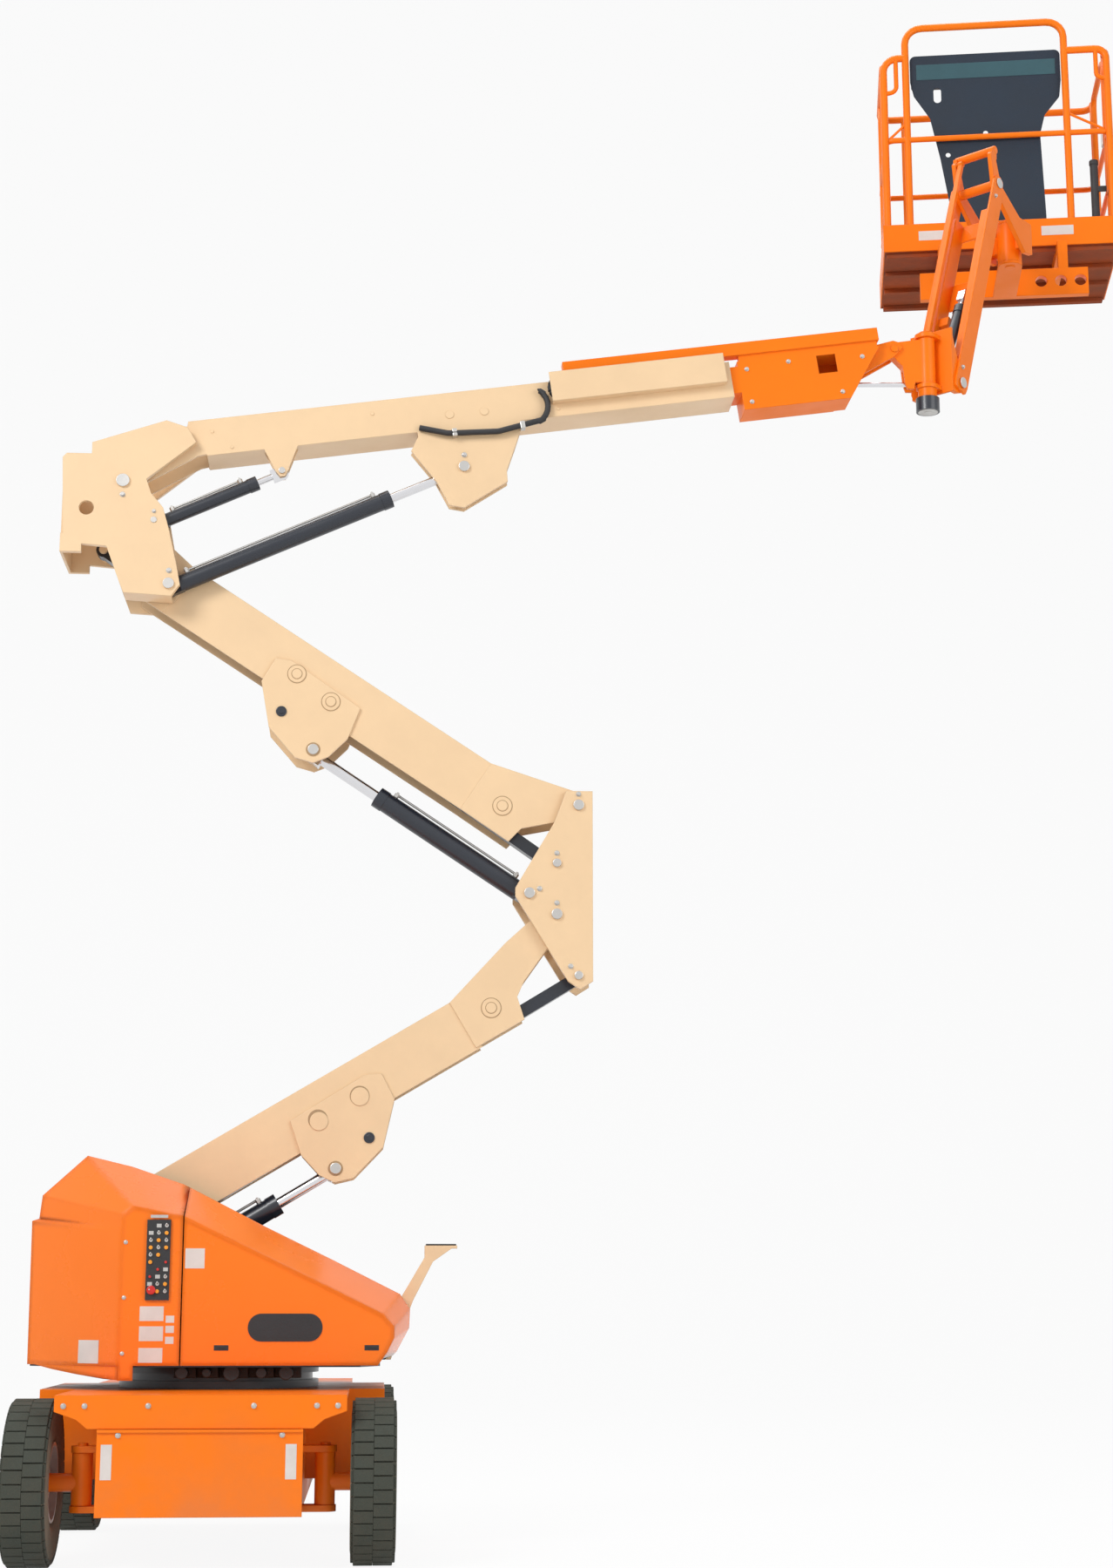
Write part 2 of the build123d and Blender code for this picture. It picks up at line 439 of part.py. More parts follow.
# ---- tower: upper upright ------------------------------------------------------
UPPER = [(-669, 4788), (-341, 4900), (-246, 4869), (-205, 4800), (-422, 4621), (-400, 4556), (-344, 4488),
         (-317, 4394), (-277, 4224), (-259, 4132), (-296, 4078), (-508, 4090), (-541, 4174), (-589, 4303),
         (-743, 4316), (-783, 4347), (-798, 4715), (-780, 4735), (-669, 4735)]
NEAR_FACE = -190.0        # outer faces of the upper upright
NEAR_INNER = -165.0
FAR_INNER = TOWER_Y + UPRIGHT_GAP
FAR_FACE = TOWER_Y + cheek_out
INNER_CHEEK = [(-541, 4174), (-508, 4090), (-296, 4078), (-259, 4132), (-277, 4224), (-330, 4500), (-440, 4500), (-560, 4330)]
upper = plate(UPPER, NEAR_FACE, NEAR_INNER)
pieces = [plate(UPPER, FAR_INNER, FAR_FACE),
          plate(INNER_CHEEK, -67, -62),
          plate([(-508, 4090), (-296, 4078), (-296, 4090), (-508, 4102)], NEAR_INNER, -62),
          block(-795, -783, NEAR_INNER, FAR_INNER, 4275, 4700),
          block(-795, -700, NEAR_FACE, NEAR_INNER, 4275, 4360),
          block(-795, -700, FAR_INNER, FAR_FACE, 4275, 4360),
          disc(MAIN_ROOT, NEAR_FACE - 8, FAR_FACE + 8, 30),
          disc(MIDDLE_LINK_HEAD, TOWER_Y - 40, FAR_INNER, LINK_PIN_RADIUS),
          disc(MAIN_LIFT_BASE, NEAR_FACE - 8, -62, PIN_RADIUS),
          disc(MASTER_BASE, NEAR_INNER, -62, LINK_PIN_RADIUS)]
upper = fused(upper, pieces) - [disc((-684, 4480), NEAR_FACE - 1, NEAR_INNER + 1, 33)]
save(upper, "upper_upright")


# ---- cylinders: barrel and rod, drawn along +X from the base pin ----------------
def cylinder(base, head, y, barrel_length, radius, rod_radius, rod_from, eye_half, base_bore, head_bore):
    length, slope = between(base, head)
    place = frame_at(base, slope, y)
    tube = Solid.revolve(Face(Wire.make_polygon([Vector(h, 0, r) for h, r in (
        (45, 0), (45, radius), (barrel_length - 45, radius), (barrel_length - 45, radius + 3),
        (barrel_length, radius + 3), (barrel_length, 0))])), 360, Axis.X)
    tube = fused(tube, block(0, 60, -eye_half, eye_half, -base_bore - 12, base_bore + 12),
                 disc((0, 0), -eye_half, eye_half, base_bore + 14))
    bore = Solid.make_cylinder(rod_radius + FIT, barrel_length - 70, Plane((71, 0, 0), z_dir=(1, 0, 0)))
    tube = tube - [disc((0, 0), -200, 200, base_bore), bore]
    rod = Solid.make_cylinder(rod_radius, length - 40 - rod_from, Plane((rod_from, 0, 0), z_dir=(1, 0, 0)))
    rod = fused(rod, block(length - 50, length, -eye_half, eye_half, -head_bore - 12, head_bore + 12),
                disc((length, 0), -eye_half, eye_half, head_bore + 14))
    rod = rod - disc((length, 0), -200, 200, head_bore)
    return tube.moved(place), rod.moved(place)


EYE = PIN_RADIUS + FIT
for name, base, head, y, barrel_length, radius, rod_radius, rod_from, eye_half, base_bore, head_bore in (
    ("lower_lift", LOWER_LIFT_BASE, LOWER_LIFT_PIN, TOWER_Y, 761, 45, 24, 340, LIFT_EYE_HALF, EYE, EYE),
    ("middle_lift", MIDDLE_LIFT_BASE, MIDDLE_LIFT_PIN, TOWER_Y, 815, 45, 24, 360, LIFT_EYE_HALF, EYE, EYE),
    ("main_lift", MAIN_LIFT_BASE, MAIN_LIFT_PIN, CYLINDER_Y, 1078, 38, 21, 184, SIDE_EYE_HALF, EYE, EYE),
    ("level_master", MASTER_BASE, MASTER_PIN, CYLINDER_Y, 500, 30, 15, 120, SIDE_EYE_HALF, LINK_PIN_RADIUS + FIT, 15 + FIT),
):
    barrel, ram = cylinder(base, head, y, barrel_length, radius, rod_radius, rod_from, eye_half, base_bore, head_bore)
    save(barrel, name + "_barrel")
    save(ram, name + "_rod")

# ---- main boom -----------------------------------------------------------------
MAIN = frame_at(MAIN_ROOT, MAIN_ANGLE, MAIN_Y)
MAIN_END = 2820.0
box = plate([(385, MAIN_BOTTOM), (312, 239), (318, MAIN_TOP), (MAIN_END, MAIN_TOP), (MAIN_END, MAIN_BOTTOM)],
            -MAIN_HALF, MAIN_HALF)
box = box - block(300, MAIN_END + 1, -MAIN_HALF + BOX_WALL, MAIN_HALF - BOX_WALL, MAIN_BOTTOM + BOX_WALL, MAIN_TOP - BOX_WALL)
hub_near = NEAR_INNER - MAIN_Y + FIT
s_lift, t_lift = seen_from(MAIN_ROOT, MAIN_ANGLE, MAIN_LIFT_PIN)
s_small, t_small = seen_from(MAIN_ROOT, MAIN_ANGLE, MASTER_PIN)
ROOT_LUG = [(-50, -20), (-36, 36), (0, 50), (330, 250), (420, 250), (420, 100), (345, 92), (40, -30), (0, -50)]
LIFT_LUG = [seen_from(MAIN_ROOT, MAIN_ANGLE, p) for p in
            ((794, 4866), (763, 4798), (879, 4656), (939, 4545), (1007, 4534), (1204, 4663), (1200, 4718),
             (1239, 4836), (1263, 4916))]
LIFT_LUG = [(LIFT_LUG[0][0], 96)] + LIFT_LUG + [(LIFT_LUG[-1][0] + 6, 96)]
SMALL_LUG = [(640, 96), (s_small - 28, t_small), (s_small - 12, t_small - 26), (s_small + 12, t_small - 26),
             (s_small + 28, t_small), (800, 96)]
eye_in, eye_out = CYLINDER_Y - MAIN_Y + 20, CYLINDER_Y - MAIN_Y - 20
pieces = [plate(ROOT_LUG, -MAIN_HALF, -MAIN_HALF + LUG_PLATE), plate(ROOT_LUG, 75, 87),
          disc((0, 0), hub_near, TOWER_Y - CHEEK_OUT - FIT - MAIN_Y, 50),
          disc((0, 0), TOWER_Y - CHEEK_OUT + LUG_PLATE + FIT - MAIN_Y, TOWER_Y + CHEEK_OUT - LUG_PLATE - FIT - MAIN_Y, 50),
          plate(LIFT_LUG, -MAIN_HALF, -MAIN_HALF + LUG_PLATE), plate(LIFT_LUG, eye_in + 1, eye_in + 11),
          plate(SMALL_LUG, -MAIN_HALF, -MAIN_HALF + 10), plate(SMALL_LUG, eye_in + 1, eye_in + 9),
          disc((s_lift, t_lift), -MAIN_HALF - 6, eye_out + 1, PIN_RADIUS),
          disc((s_lift, t_lift), eye_in + 1, eye_in + 14, PIN_RADIUS),
          disc((s_small, t_small), -MAIN_HALF - 4, eye_out + 1, 15),
          disc((s_small, t_small), eye_in + 1, eye_in + 12, 15)]
for s0, s1 in ((MAIN_END - 120, MAIN_END),):
    for y0, y1 in ((FLY_HALF + FIT, MAIN_HALF - BOX_WALL), (-MAIN_HALF + BOX_WALL, -FLY_HALF - FIT)):
        pieces.append(block(s0, s1, y0, y1, FLY_BOTTOM, FLY_TOP))
    pieces.append(block(s0, s1, -60, 60, MAIN_BOTTOM + BOX_WALL, FLY_BOTTOM - FIT))
    pieces.append(block(s0, s1, -60, 60, FLY_TOP + FIT, MAIN_TOP - BOX_WALL))
main = fused(box, pieces) - disc((0, 0), -300, 300, 30 + FIT)
save(main.moved(MAIN), "main_boom_base")

track = fused(block(1975, 2790, -MAIN_HALF - 45, -MAIN_HALF, 150, 156),
              block(1975, 2790, -MAIN_HALF - 45, -MAIN_HALF - 41, 156, 290),
              block(1990, 2780, -MAIN_HALF - 38, -MAIN_HALF - 8, 156, 200))
save(track.moved(MAIN), "power_track")

# ---- fly boom ------------------------------------------------------------------
s_level, t_level = seen_from(MAIN_ROOT, MAIN_ANGLE, LEVEL_PIVOT)
s_pin, t_pin = seen_from(MAIN_ROOT, MAIN_ANGLE, LEVEL_PIN)
FLY_WALL = 8.0
tube_part = block(1000, 2900, -FLY_HALF, FLY_HALF, FLY_BOTTOM, FLY_TOP)
NOSE = [(2860, 25), (3365, 25), (3540, 262), (2860, 262)]
nose = plate(NOSE, -FLY_HALF, FLY_HALF)
fly = fused(tube_part, nose)
fly = fly - [block(999, 2901, -FLY_HALF + FLY_WALL, FLY_HALF - FLY_WALL, FLY_BOTTOM + FLY_WALL, FLY_TOP - FLY_WALL),
             plate([(2868, 33), (3400, 33), (3560, 254), (2868, 254)], -FLY_HALF + FLY_WALL, FLY_HALF - FLY_WALL),
             plate([(3235, 160), (3324, 160), (3324, 248), (3235, 248)], -FLY_HALF - 1, -FLY_HALF + FLY_WALL + 1),
             plate([(3307, 20), (3497, 278), (3600, 278), (3600, 20)], FLY_HALF - FLY_WALL - 1, FLY_HALF + 1)]
FLY_LUG = [(3380, 120), (s_level - 10, t_level - 40), (s_level + 40, t_level), (s_level + 28, t_level + 28),
           (s_level, t_level + 40), (3380, 262)]
ARM_HALF = 28.0
pieces = [plate(FLY_LUG, ARM_HALF + FIT, ARM_HALF + 14), plate(FLY_LUG, -ARM_HALF - 14, -ARM_HALF - FIT),
          block(3380, 3392, -FLY_HALF + 4, FLY_HALF - 4, 180, 260),
          block(2050, 3540, -95, -35, 290, 350),
          block(2870, 3530, -84, -50, 262, 290),
          disc((s_level, t_level), -ARM_HALF - 20, ARM_HALF + 20, 18)]
for s0 in (1010, 1370):
    for y0, y1 in ((FLY_HALF, MAIN_HALF - BOX_WALL - FIT), (-MAIN_HALF + BOX_WALL + FIT, -FLY_HALF)):
        pieces.append(block(s0, s0 + 80, y0, y1, FLY_BOTTOM + 10, FLY_TOP - 10))
    pieces.append(block(s0, s0 + 80, -60, 60, MAIN_BOTTOM + BOX_WALL + FIT, FLY_BOTTOM))
    pieces.append(block(s0, s0 + 80, -60, 60, FLY_TOP, MAIN_TOP - BOX_WALL - FIT))
save(fused(fly, pieces).moved(MAIN), "fly_boom")

# ---- level bracket, swing head -------------------------------------------------
HEAD_LOW, HEAD_HIGH = 5195.0, 5465.0
EAR = 20.0
hub = post(SWING_X, MAIN_Y, HEAD_LOW + EAR + FIT, HEAD_HIGH - EAR - FIT, 40)
arm = plate([(LEVEL_PIVOT[0] - 36, 5380), (3010, 5414), (SWING_X, 5440), (SWING_X, 5222), (3118, 5222), (3112, 5188), (3080, 5188),
             (3068, 5222), (3060, 5300)], MAIN_Y - ARM_HALF, MAIN_Y + ARM_HALF)
level = fused(hub, arm, disc(LEVEL_PIVOT, MAIN_Y - ARM_HALF, MAIN_Y + ARM_HALF, 38))
SLOT = 13.0
level = level - [disc(LEVEL_PIVOT, MAIN_Y - 99, MAIN_Y + 99, 18 + FIT),
                 disc(LEVEL_PIN, MAIN_Y - SLOT, MAIN_Y + SLOT, 36),
                 plate([(3000, 5140), (3000, 5330), (3099, 5254), (3099, 5140)], MAIN_Y - SLOT, MAIN_Y + SLOT),
                 post(SWING_X, MAIN_Y, 5000, 5600, 25 + FIT)]
level = fused(level, disc(LEVEL_PIN, MAIN_Y - ARM_HALF, MAIN_Y + ARM_HALF, 12))
save(level, "level_bracket")

SLAVE_END = (s_pin - 560, 150.0)
slave_length = hypot(s_pin - SLAVE_END[0], t_pin - SLAVE_END[1])
slave_slope = MAIN_ANGLE + degrees(atan2(SLAVE_END[1] - t_pin, SLAVE_END[0] - s_pin))
slave = Solid.make_cylinder(11, slave_length - 16, Plane((16, 0, 0), z_dir=(1, 0, 0)))
slave = fused(slave, disc((0, 0), -SLOT + FIT, SLOT - FIT, 20)) - disc((0, 0), -50, 50, 12 + FIT)
save(slave.moved(frame_at(LEVEL_PIN, slave_slope, MAIN_Y)), "level_slave_rod")


def headed(x, y, z, heading):
    """A frame that looks along a level heading."""
    run, rise = cos(radians(heading)), sin(radians(heading))
    return Plane((x, y, z), x_dir=(run, rise, 0), z_dir=(0, 0, 1)).location


HEAD = headed(SWING_X, MAIN_Y, 0, JIB_HEADING)
LUG_IN, LUG_OUT = JIB_HALF - 22, JIB_HALF - FIT
CYL_V = -40.0
LINK_V = 70.0
JIB_CYL_BASE = (JIB_REACH - 120 * sin(radians(7.5)), JIB_PIVOT_Z + 120 * cos(radians(7.5)))
JIB_LINK_BASE = (JIB_REACH - 28, JIB_PIVOT_Z + 150)
head = fused(
    block(46, 58, -LUG_OUT, LUG_OUT, 5180, 5495),
    post(0, 0, HEAD_LOW, HEAD_LOW + EAR, 52), block(0, 50, -52, 52, HEAD_LOW, HEAD_LOW + EAR),
    post(0, 0, HEAD_HIGH - EAR, HEAD_HIGH, 52), block(0, 50, -52, 52, HEAD_HIGH - EAR, HEAD_HIGH),
    post(0, 0, HEAD_LOW, HEAD_HIGH, 25), post(0, 0, 5150, HEAD_LOW, 44), post(0, 0, HEAD_HIGH, HEAD_HIGH + 12, 34),
)
PIVOT = (JIB_REACH, JIB_PIVOT_Z)
side_lug = [(46, 5180), (JIB_REACH - 20, 5180), (JIB_REACH + 34, 5198), (JIB_REACH + 40, 5240), (JIB_REACH + 20, 5275),
            (70, 5420), (46, 5495)]
cyl_lug = [(56, 5310), (JIB_CYL_BASE[0] + 10, 5325), (JIB_CYL_BASE[0] + 24, 5352), (JIB_CYL_BASE[0] + 10, 5378), (56, 5390)]
link_lug = [(56, 5350), (86, 5362), (96, 5382), (86, 5402), (56, 5410)]
pieces = [plate(side_lug, LUG_IN, LUG_OUT), plate(side_lug, -LUG_OUT, -LUG_IN),
          disc(PIVOT, LUG_IN, JIB_HALF + 16, 20), disc(PIVOT, -JIB_HALF - 16, -LUG_IN, 20),
          plate(cyl_lug, CYL_V - 30, CYL_V - 20), plate(cyl_lug, CYL_V + 20, CYL_V + 30),
          disc(JIB_CYL_BASE, CYL_V - 30, CYL_V + 30, 12),
          plate(link_lug, LINK_V - 19, LINK_V - 13), plate(link_lug, LINK_V + 13, LINK_V + 19),
          disc(JIB_LINK_BASE, LINK_V - 19, LINK_V + 19, 8)]
save(fused(head, pieces).moved(HEAD), "jib_swing_head")
save(post(SWING_X, MAIN_Y, 5085, 5150, 55), "swing_actuator")

# ---- jib -----------------------------------------------------------------------
def in_head(shape):
    return shape.moved(HEAD)


jib_place = frame_at(PIVOT, JIB_ANGLE)
JIB_PLATE = 12.0
side = [(-40, -42), (-40, 42), (0, 50), (JIB_LENGTH, 42), (JIB_LENGTH + 34, 24), (JIB_LENGTH + 40, 0),
        (JIB_LENGTH + 30, -30), (JIB_LENGTH - 60, -50), (0, -50)]
jib = fused(
    plate(side, JIB_HALF, JIB_HALF + JIB_PLATE), plate(side, -JIB_HALF - JIB_PLATE, -JIB_HALF),
    block(190, JIB_LENGTH - 90, -JIB_HALF, JIB_HALF, -50, -38) - [
        block(189, 505, CYL_V - 46, CYL_V + 46, -51, -37), block(505, 680, CYL_V - 20, CYL_V + 20, -51, -37)],
    block(380, 430, -JIB_HALF, CYL_V - 50, -38, 42), block(380, 430, CYL_V + 50, 50, -38, 20),
    plate([(560 - 40, -38), (560 - 18, 18), (560 + 18, 18), (560 + 40, -38)], CYL_V - 30, CYL_V - 20),
    plate([(560 - 40, -38), (560 - 18, 18), (560 + 18, 18), (560 + 40, -38)], CYL_V + 20, CYL_V + 30),
    disc((560, 0), CYL_V - 34, CYL_V - 20, 12), disc((560, 0), CYL_V + 20, CYL_V + 34, 12),
)
jib = jib - [disc((0, 0), -200, 200, 20 + FIT), disc((JIB_LENGTH, 0), -200, 200, 20 + FIT)]
save(in_head(jib.moved(jib_place)), "jib_arm")

tip = (JIB_REACH + JIB_LENGTH * cos(radians(JIB_ANGLE)), JIB_PIVOT_Z + JIB_LENGTH * sin(radians(JIB_ANGLE)))
link_tip = (tip[0] - 28, tip[1] + 150)
save(in_head(link(JIB_LINK_BASE, link_tip, 9, LINK_V - 12, LINK_V + 12, 8 + FIT)), "jib_timing_link")

cyl_head = (JIB_REACH + 560 * cos(radians(JIB_ANGLE)), JIB_PIVOT_Z + 560 * sin(radians(JIB_ANGLE)))
barrel, ram = cylinder(JIB_CYL_BASE, cyl_head, CYL_V, 370, 27, 13, 95, 19, 12 + FIT, 12 + FIT)
save(in_head(barrel), "jib_cylinder_barrel")
save(in_head(ram), "jib_cylinder_rod")

ROTATOR = (tip[0] + ROTATOR_REACH, 0)
ROT_LOW, ROT_HIGH = tip[1] - 290, tip[1] - 90
arm_plate = [(tip[0] - 30, tip[1] - 20), (tip[0] - 30, tip[1] + 20), (tip[0] - 48, tip[1] + 150),
             (tip[0] - 28, tip[1] + 172), (tip[0] - 6, tip[1] + 150), (tip[0] + 40, tip[1] + 10),
             (ROTATOR[0] - 85, ROT_HIGH - 10), (ROTATOR[0] + 30, ROT_HIGH - 10), (ROTATOR[0] + 30, ROT_LOW + 30), (ROTATOR[0] - 40, ROT_LOW + 20)]
end = fused(
    plate(arm_plate, LUG_IN, LUG_OUT), plate(arm_plate, -LUG_OUT, -LUG_IN),
    disc(tip, -JIB_HALF - JIB_PLATE, JIB_HALF + JIB_PLATE, 20),
    disc(tip, -LUG_OUT, LUG_OUT, 24),
    post(ROTATOR[0], 0, ROT_LOW + FIT, ROT_HIGH - FIT, 60),
    block(ROTATOR[0] - 30, ROTATOR[0] + 20, -LUG_IN, LUG_IN, ROT_LOW + 60, ROT_LOW + 150),
    plate([(tip[0] - 46, tip[1] + 145), (tip[0] - 28, tip[1] + 166), (tip[0] - 12, tip[1] + 150), (tip[0] - 28, tip[1] + 132)],
          LINK_V + 13, LUG_IN),
    disc(link_tip, LINK_V - 13, LUG_IN, 8),
)
end = end - post(ROTATOR[0], 0, ROT_LOW - 10, ROT_HIGH + 10, 25 + FIT)
save(in_head(end), "jib_end")

# ---- platform ------------------------------------------------------------------
radius_h = ROTATOR[0]
rx = SWING_X + radius_h * cos(radians(JIB_HEADING))
ry = MAIN_Y + radius_h * sin(radians(JIB_HEADING))
PLATFORM = headed(rx, ry, 0, PLATFORM_HEADING)
HALF_W = PLATFORM_WIDTH / 2
REAR = PLATFORM_SETBACK
FRONT = PLATFORM_SETBACK + PLATFORM_DEPTH
support = fused(
    post(0, 0, ROT_LOW - 20, ROT_HIGH + 20, 25),
    post(0, 0, ROT_HIGH, ROT_HIGH + 16, 60), block(0, REAR - 20, -60, 60, ROT_HIGH, ROT_HIGH + 16),
    post(0, 0, ROT_LOW - 16, ROT_LOW, 60), block(0, REAR - 20, -60, 60, ROT_LOW - 16, ROT_LOW),
    block(REAR - 60, REAR - 20, -430, 430, ROT_LOW - 16, ROT_LOW + 130),
    block(REAR - 60, REAR + 500, -330, -280, FLOOR_Z - 60, FLOOR_Z),
    block(REAR - 60, REAR + 500, 280, 330, FLOOR_Z - 60, FLOOR_Z),
    block(REAR - 60, REAR - 20, -330, -280, ROT_LOW + 100, FLOOR_Z),
    block(REAR - 60, REAR - 20, 280, 330, ROT_LOW + 100, FLOOR_Z),
)
holes = [bar((REAR - 70, y, ROT_LOW + 60), (REAR - 10, y, ROT_LOW + 60), 30) for y in (-390, -290, -190)]
save((support - holes).moved(PLATFORM), "platform_support")

TOE = 150.0
floor = block(REAR, FRONT, -HALF_W, HALF_W, FLOOR_Z, FLOOR_Z + TOE)
floor = floor - block(REAR + 4, FRONT - 4, -HALF_W + 4, HALF_W - 4, FLOOR_Z + 10, FLOOR_Z + TOE + 1)
save(floor.moved(PLATFORM), "platform_floor")


def tube(points, radius, bend):
    path = FilletPolyline(*points, radius=bend)
    return sweep(Plane(origin=path @ 0, z_dir=path % 0) * Circle(radius), path=path)


R = RAIL_RADIUS
TOP = FLOOR_Z + RAIL_HEIGHT
GATE_FROM, GATE_TO = REAR + 155, REAR + 615      # opening in the right-hand side
INSET = R + 7
GATE_Y = -HALF_W + INSET
rails = []
ends = ((GATE_FROM - 45, GATE_Y), (REAR + INSET, GATE_Y), (REAR + INSET, HALF_W - INSET),
        (FRONT - INSET, HALF_W - INSET), (FRONT - INSET, GATE_Y), (GATE_TO + 45, GATE_Y))
for z, r in ((TOP - R, R), (FLOOR_Z + 640, R - 4), (FLOOR_Z + 330, R - 4)):
    rails.append(tube([(x, y, z) for x, y in ends], r, 60))
for x, y in ((REAR + INSET, HALF_W - 160), (REAR + INSET, -HALF_W + 160), (FRONT - INSET, HALF_W - 160),
             (FRONT - INSET, -HALF_W + 160), (GATE_FROM - 45, GATE_Y), (GATE_TO + 45, GATE_Y),
             (REAR + 200, HALF_W - INSET), (FRONT - 200, HALF_W - INSET)):
    rails.append(post(x, y, FLOOR_Z + 10, TOP - R, R - 2))
rails.append(tube([(REAR + INSET, -380, FLOOR_Z + 640), (REAR + INSET, -380, TOP + 150), (REAR + INSET, 380, TOP + 150),
                   (REAR + INSET, 380, FLOOR_Z + 640)], R, 80))
for x0, x1 in ((GATE_TO - 16, GATE_TO + 45), (GATE_FROM - 45, GATE_FROM + 12)):
    rails.append(block(x0, x1, GATE_Y - 12, GATE_Y + 12, FLOOR_Z + 325, FLOOR_Z + 340 - FIT))
guard = rails[0]
for piece in rails[1:]:
    guard = guard + piece
save(guard.moved(PLATFORM), "platform_rails")

gate_line = ((GATE_FROM, GATE_Y), (GATE_TO, GATE_Y))
gate = tube([(GATE_TO, GATE_Y, FLOOR_Z + 340), (GATE_TO, GATE_Y, TOP - R), (GATE_FROM, GATE_Y, TOP - R),
             (GATE_FROM, GATE_Y, FLOOR_Z + 340)], R - 3, 50)
gate = fused(gate, bar((GATE_FROM, GATE_Y, FLOOR_Z + 640), (GATE_TO, GATE_Y, FLOOR_Z + 640), R - 5),
             bar((GATE_FROM, GATE_Y, FLOOR_Z + 365), (GATE_TO, GATE_Y, FLOOR_Z + 365), R - 5))
save(gate.moved(PLATFORM), "platform_gate")

CONSOLE_X = REAR + INSET + R + FIT
console = plate([(CONSOLE_X, TOP - 330), (CONSOLE_X, TOP - 40), (CONSOLE_X + 140, TOP - 70),
                 (CONSOLE_X + 150, TOP - 130), (CONSOLE_X + 50, TOP - 330)], -330, 330)
console = fused(console, block(CONSOLE_X, CONSOLE_X + 50, -230, 230, FLOOR_Z + 10, TOP - 320))
save(console.moved(PLATFORM), "platform_console")
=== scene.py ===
from math import cos, pi, radians, sin, tan

import bmesh
import bpy
from mathutils import Matrix, Vector


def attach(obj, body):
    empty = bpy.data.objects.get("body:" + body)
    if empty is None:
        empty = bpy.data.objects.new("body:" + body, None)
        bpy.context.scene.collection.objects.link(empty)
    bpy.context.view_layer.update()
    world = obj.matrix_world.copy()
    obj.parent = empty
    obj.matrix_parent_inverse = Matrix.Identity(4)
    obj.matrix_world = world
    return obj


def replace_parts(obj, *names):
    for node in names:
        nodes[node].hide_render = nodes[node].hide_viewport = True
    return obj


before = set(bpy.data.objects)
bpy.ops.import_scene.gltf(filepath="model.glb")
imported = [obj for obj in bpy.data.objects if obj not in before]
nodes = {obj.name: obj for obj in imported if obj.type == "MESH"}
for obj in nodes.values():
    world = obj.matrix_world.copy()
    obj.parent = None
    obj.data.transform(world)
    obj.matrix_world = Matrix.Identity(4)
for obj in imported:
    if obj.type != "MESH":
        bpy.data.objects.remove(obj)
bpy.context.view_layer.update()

# ---- camera --------------------------------------------------------------------
# A standing person's view of the near side, from eleven metres away. The lens
# looks up along the tower and a few degrees towards the boom's tip.
CAMERA_TILT, CAMERA_TURN = radians(90 + 11.847), radians(-4.097)
lens = bpy.data.cameras.new("view")
lens.lens = 57.0
lens.sensor_width = 36.0
camera = bpy.data.objects.new("view", lens)
camera.location = (0.655, -10.92, 0.992)
camera.rotation_euler = (CAMERA_TILT, 0, CAMERA_TURN)
bpy.context.scene.collection.objects.link(camera)
bpy.context.scene.camera = camera

# ---- studio --------------------------------------------------------------------
# A pale painted floor that sweeps up into a backdrop far behind the machine. Soft
# lamps stand to both sides and overhead, and the room fills in the shade.
bpy.context.scene.view_settings.view_transform = "Standard"
SWEEP_WIDTH = 90
SWEEP_PROFILE = [(-30, 0), (16, 0), (19, 0.4), (22, 2), (24, 5), (25, 10), (25, 40)]
FLOOR_GLOW = 0.92
ROOM_LIGHT = 0.42


def move_grown(target, grown, by):
    """Moves the corners that an extrusion has just made."""
    corners = [v for v in grown["geom"] if isinstance(v, bmesh.types.BMVert)]
    bmesh.ops.translate(target, verts=corners, vec=by)


def add_math(tree, operation, second=None):
    """A math node, with its second value set where one is given."""
    node = tree.nodes.new("ShaderNodeMath")
    node.operation = operation
    if second is not None:
        node.inputs[1].default_value = second
    return node


def looked_at(tree):
    """A socket that is 1 for camera, glossy and transmission rays, and 0 for the light itself."""
    path = tree.nodes.new("ShaderNodeLightPath")
    seen = path.outputs["Is Camera Ray"]
    for ray in ("Is Glossy Ray", "Is Transmission Ray"):
        either = add_math(tree, "MAXIMUM")
        tree.links.new(seen, either.inputs[0])
        tree.links.new(path.outputs[ray], either.inputs[1])
        seen = either.outputs[0]
    return seen


backdrop = bmesh.new()
strip = [backdrop.verts.new((-SWEEP_WIDTH / 2, y, z)) for y, z in SWEEP_PROFILE]
edges = [backdrop.edges.new(two) for two in zip(strip, strip[1:])]
move_grown(backdrop, bmesh.ops.extrude_edge_only(backdrop, edges=edges), (SWEEP_WIDTH, 0, 0))
bmesh.ops.recalc_face_normals(backdrop, faces=backdrop.faces)
for face in backdrop.faces:
    face.smooth = True
mesh = bpy.data.meshes.new("floor_and_backdrop")
backdrop.to_mesh(mesh)
backdrop.free()
floor = bpy.data.objects.new("floor_and_backdrop", mesh)
bpy.context.scene.collection.objects.link(floor)
pale = bpy.data.materials.new("pale_floor_paint")
pale.use_nodes = True
tree = pale.node_tree
shader = tree.nodes["Principled BSDF"]
shader.inputs["Base Color"].default_value = (0.86, 0.86, 0.85, 1)
shader.inputs["Roughness"].default_value = 0.8
glow = tree.nodes.new("ShaderNodeEmission")
glow.inputs["Color"].default_value = (1, 1, 1, 1)
share = add_math(tree, "MULTIPLY", FLOOR_GLOW)
mix = tree.nodes.new("ShaderNodeMixShader")
tree.links.new(looked_at(tree), share.inputs[0])
tree.links.new(share.outputs[0], mix.inputs[0])
tree.links.new(shader.outputs[0], mix.inputs[1])
tree.links.new(glow.outputs[0], mix.inputs[2])
tree.links.new(mix.outputs[0], tree.nodes["Material Output"].inputs["Surface"])
mesh.materials.append(pale)

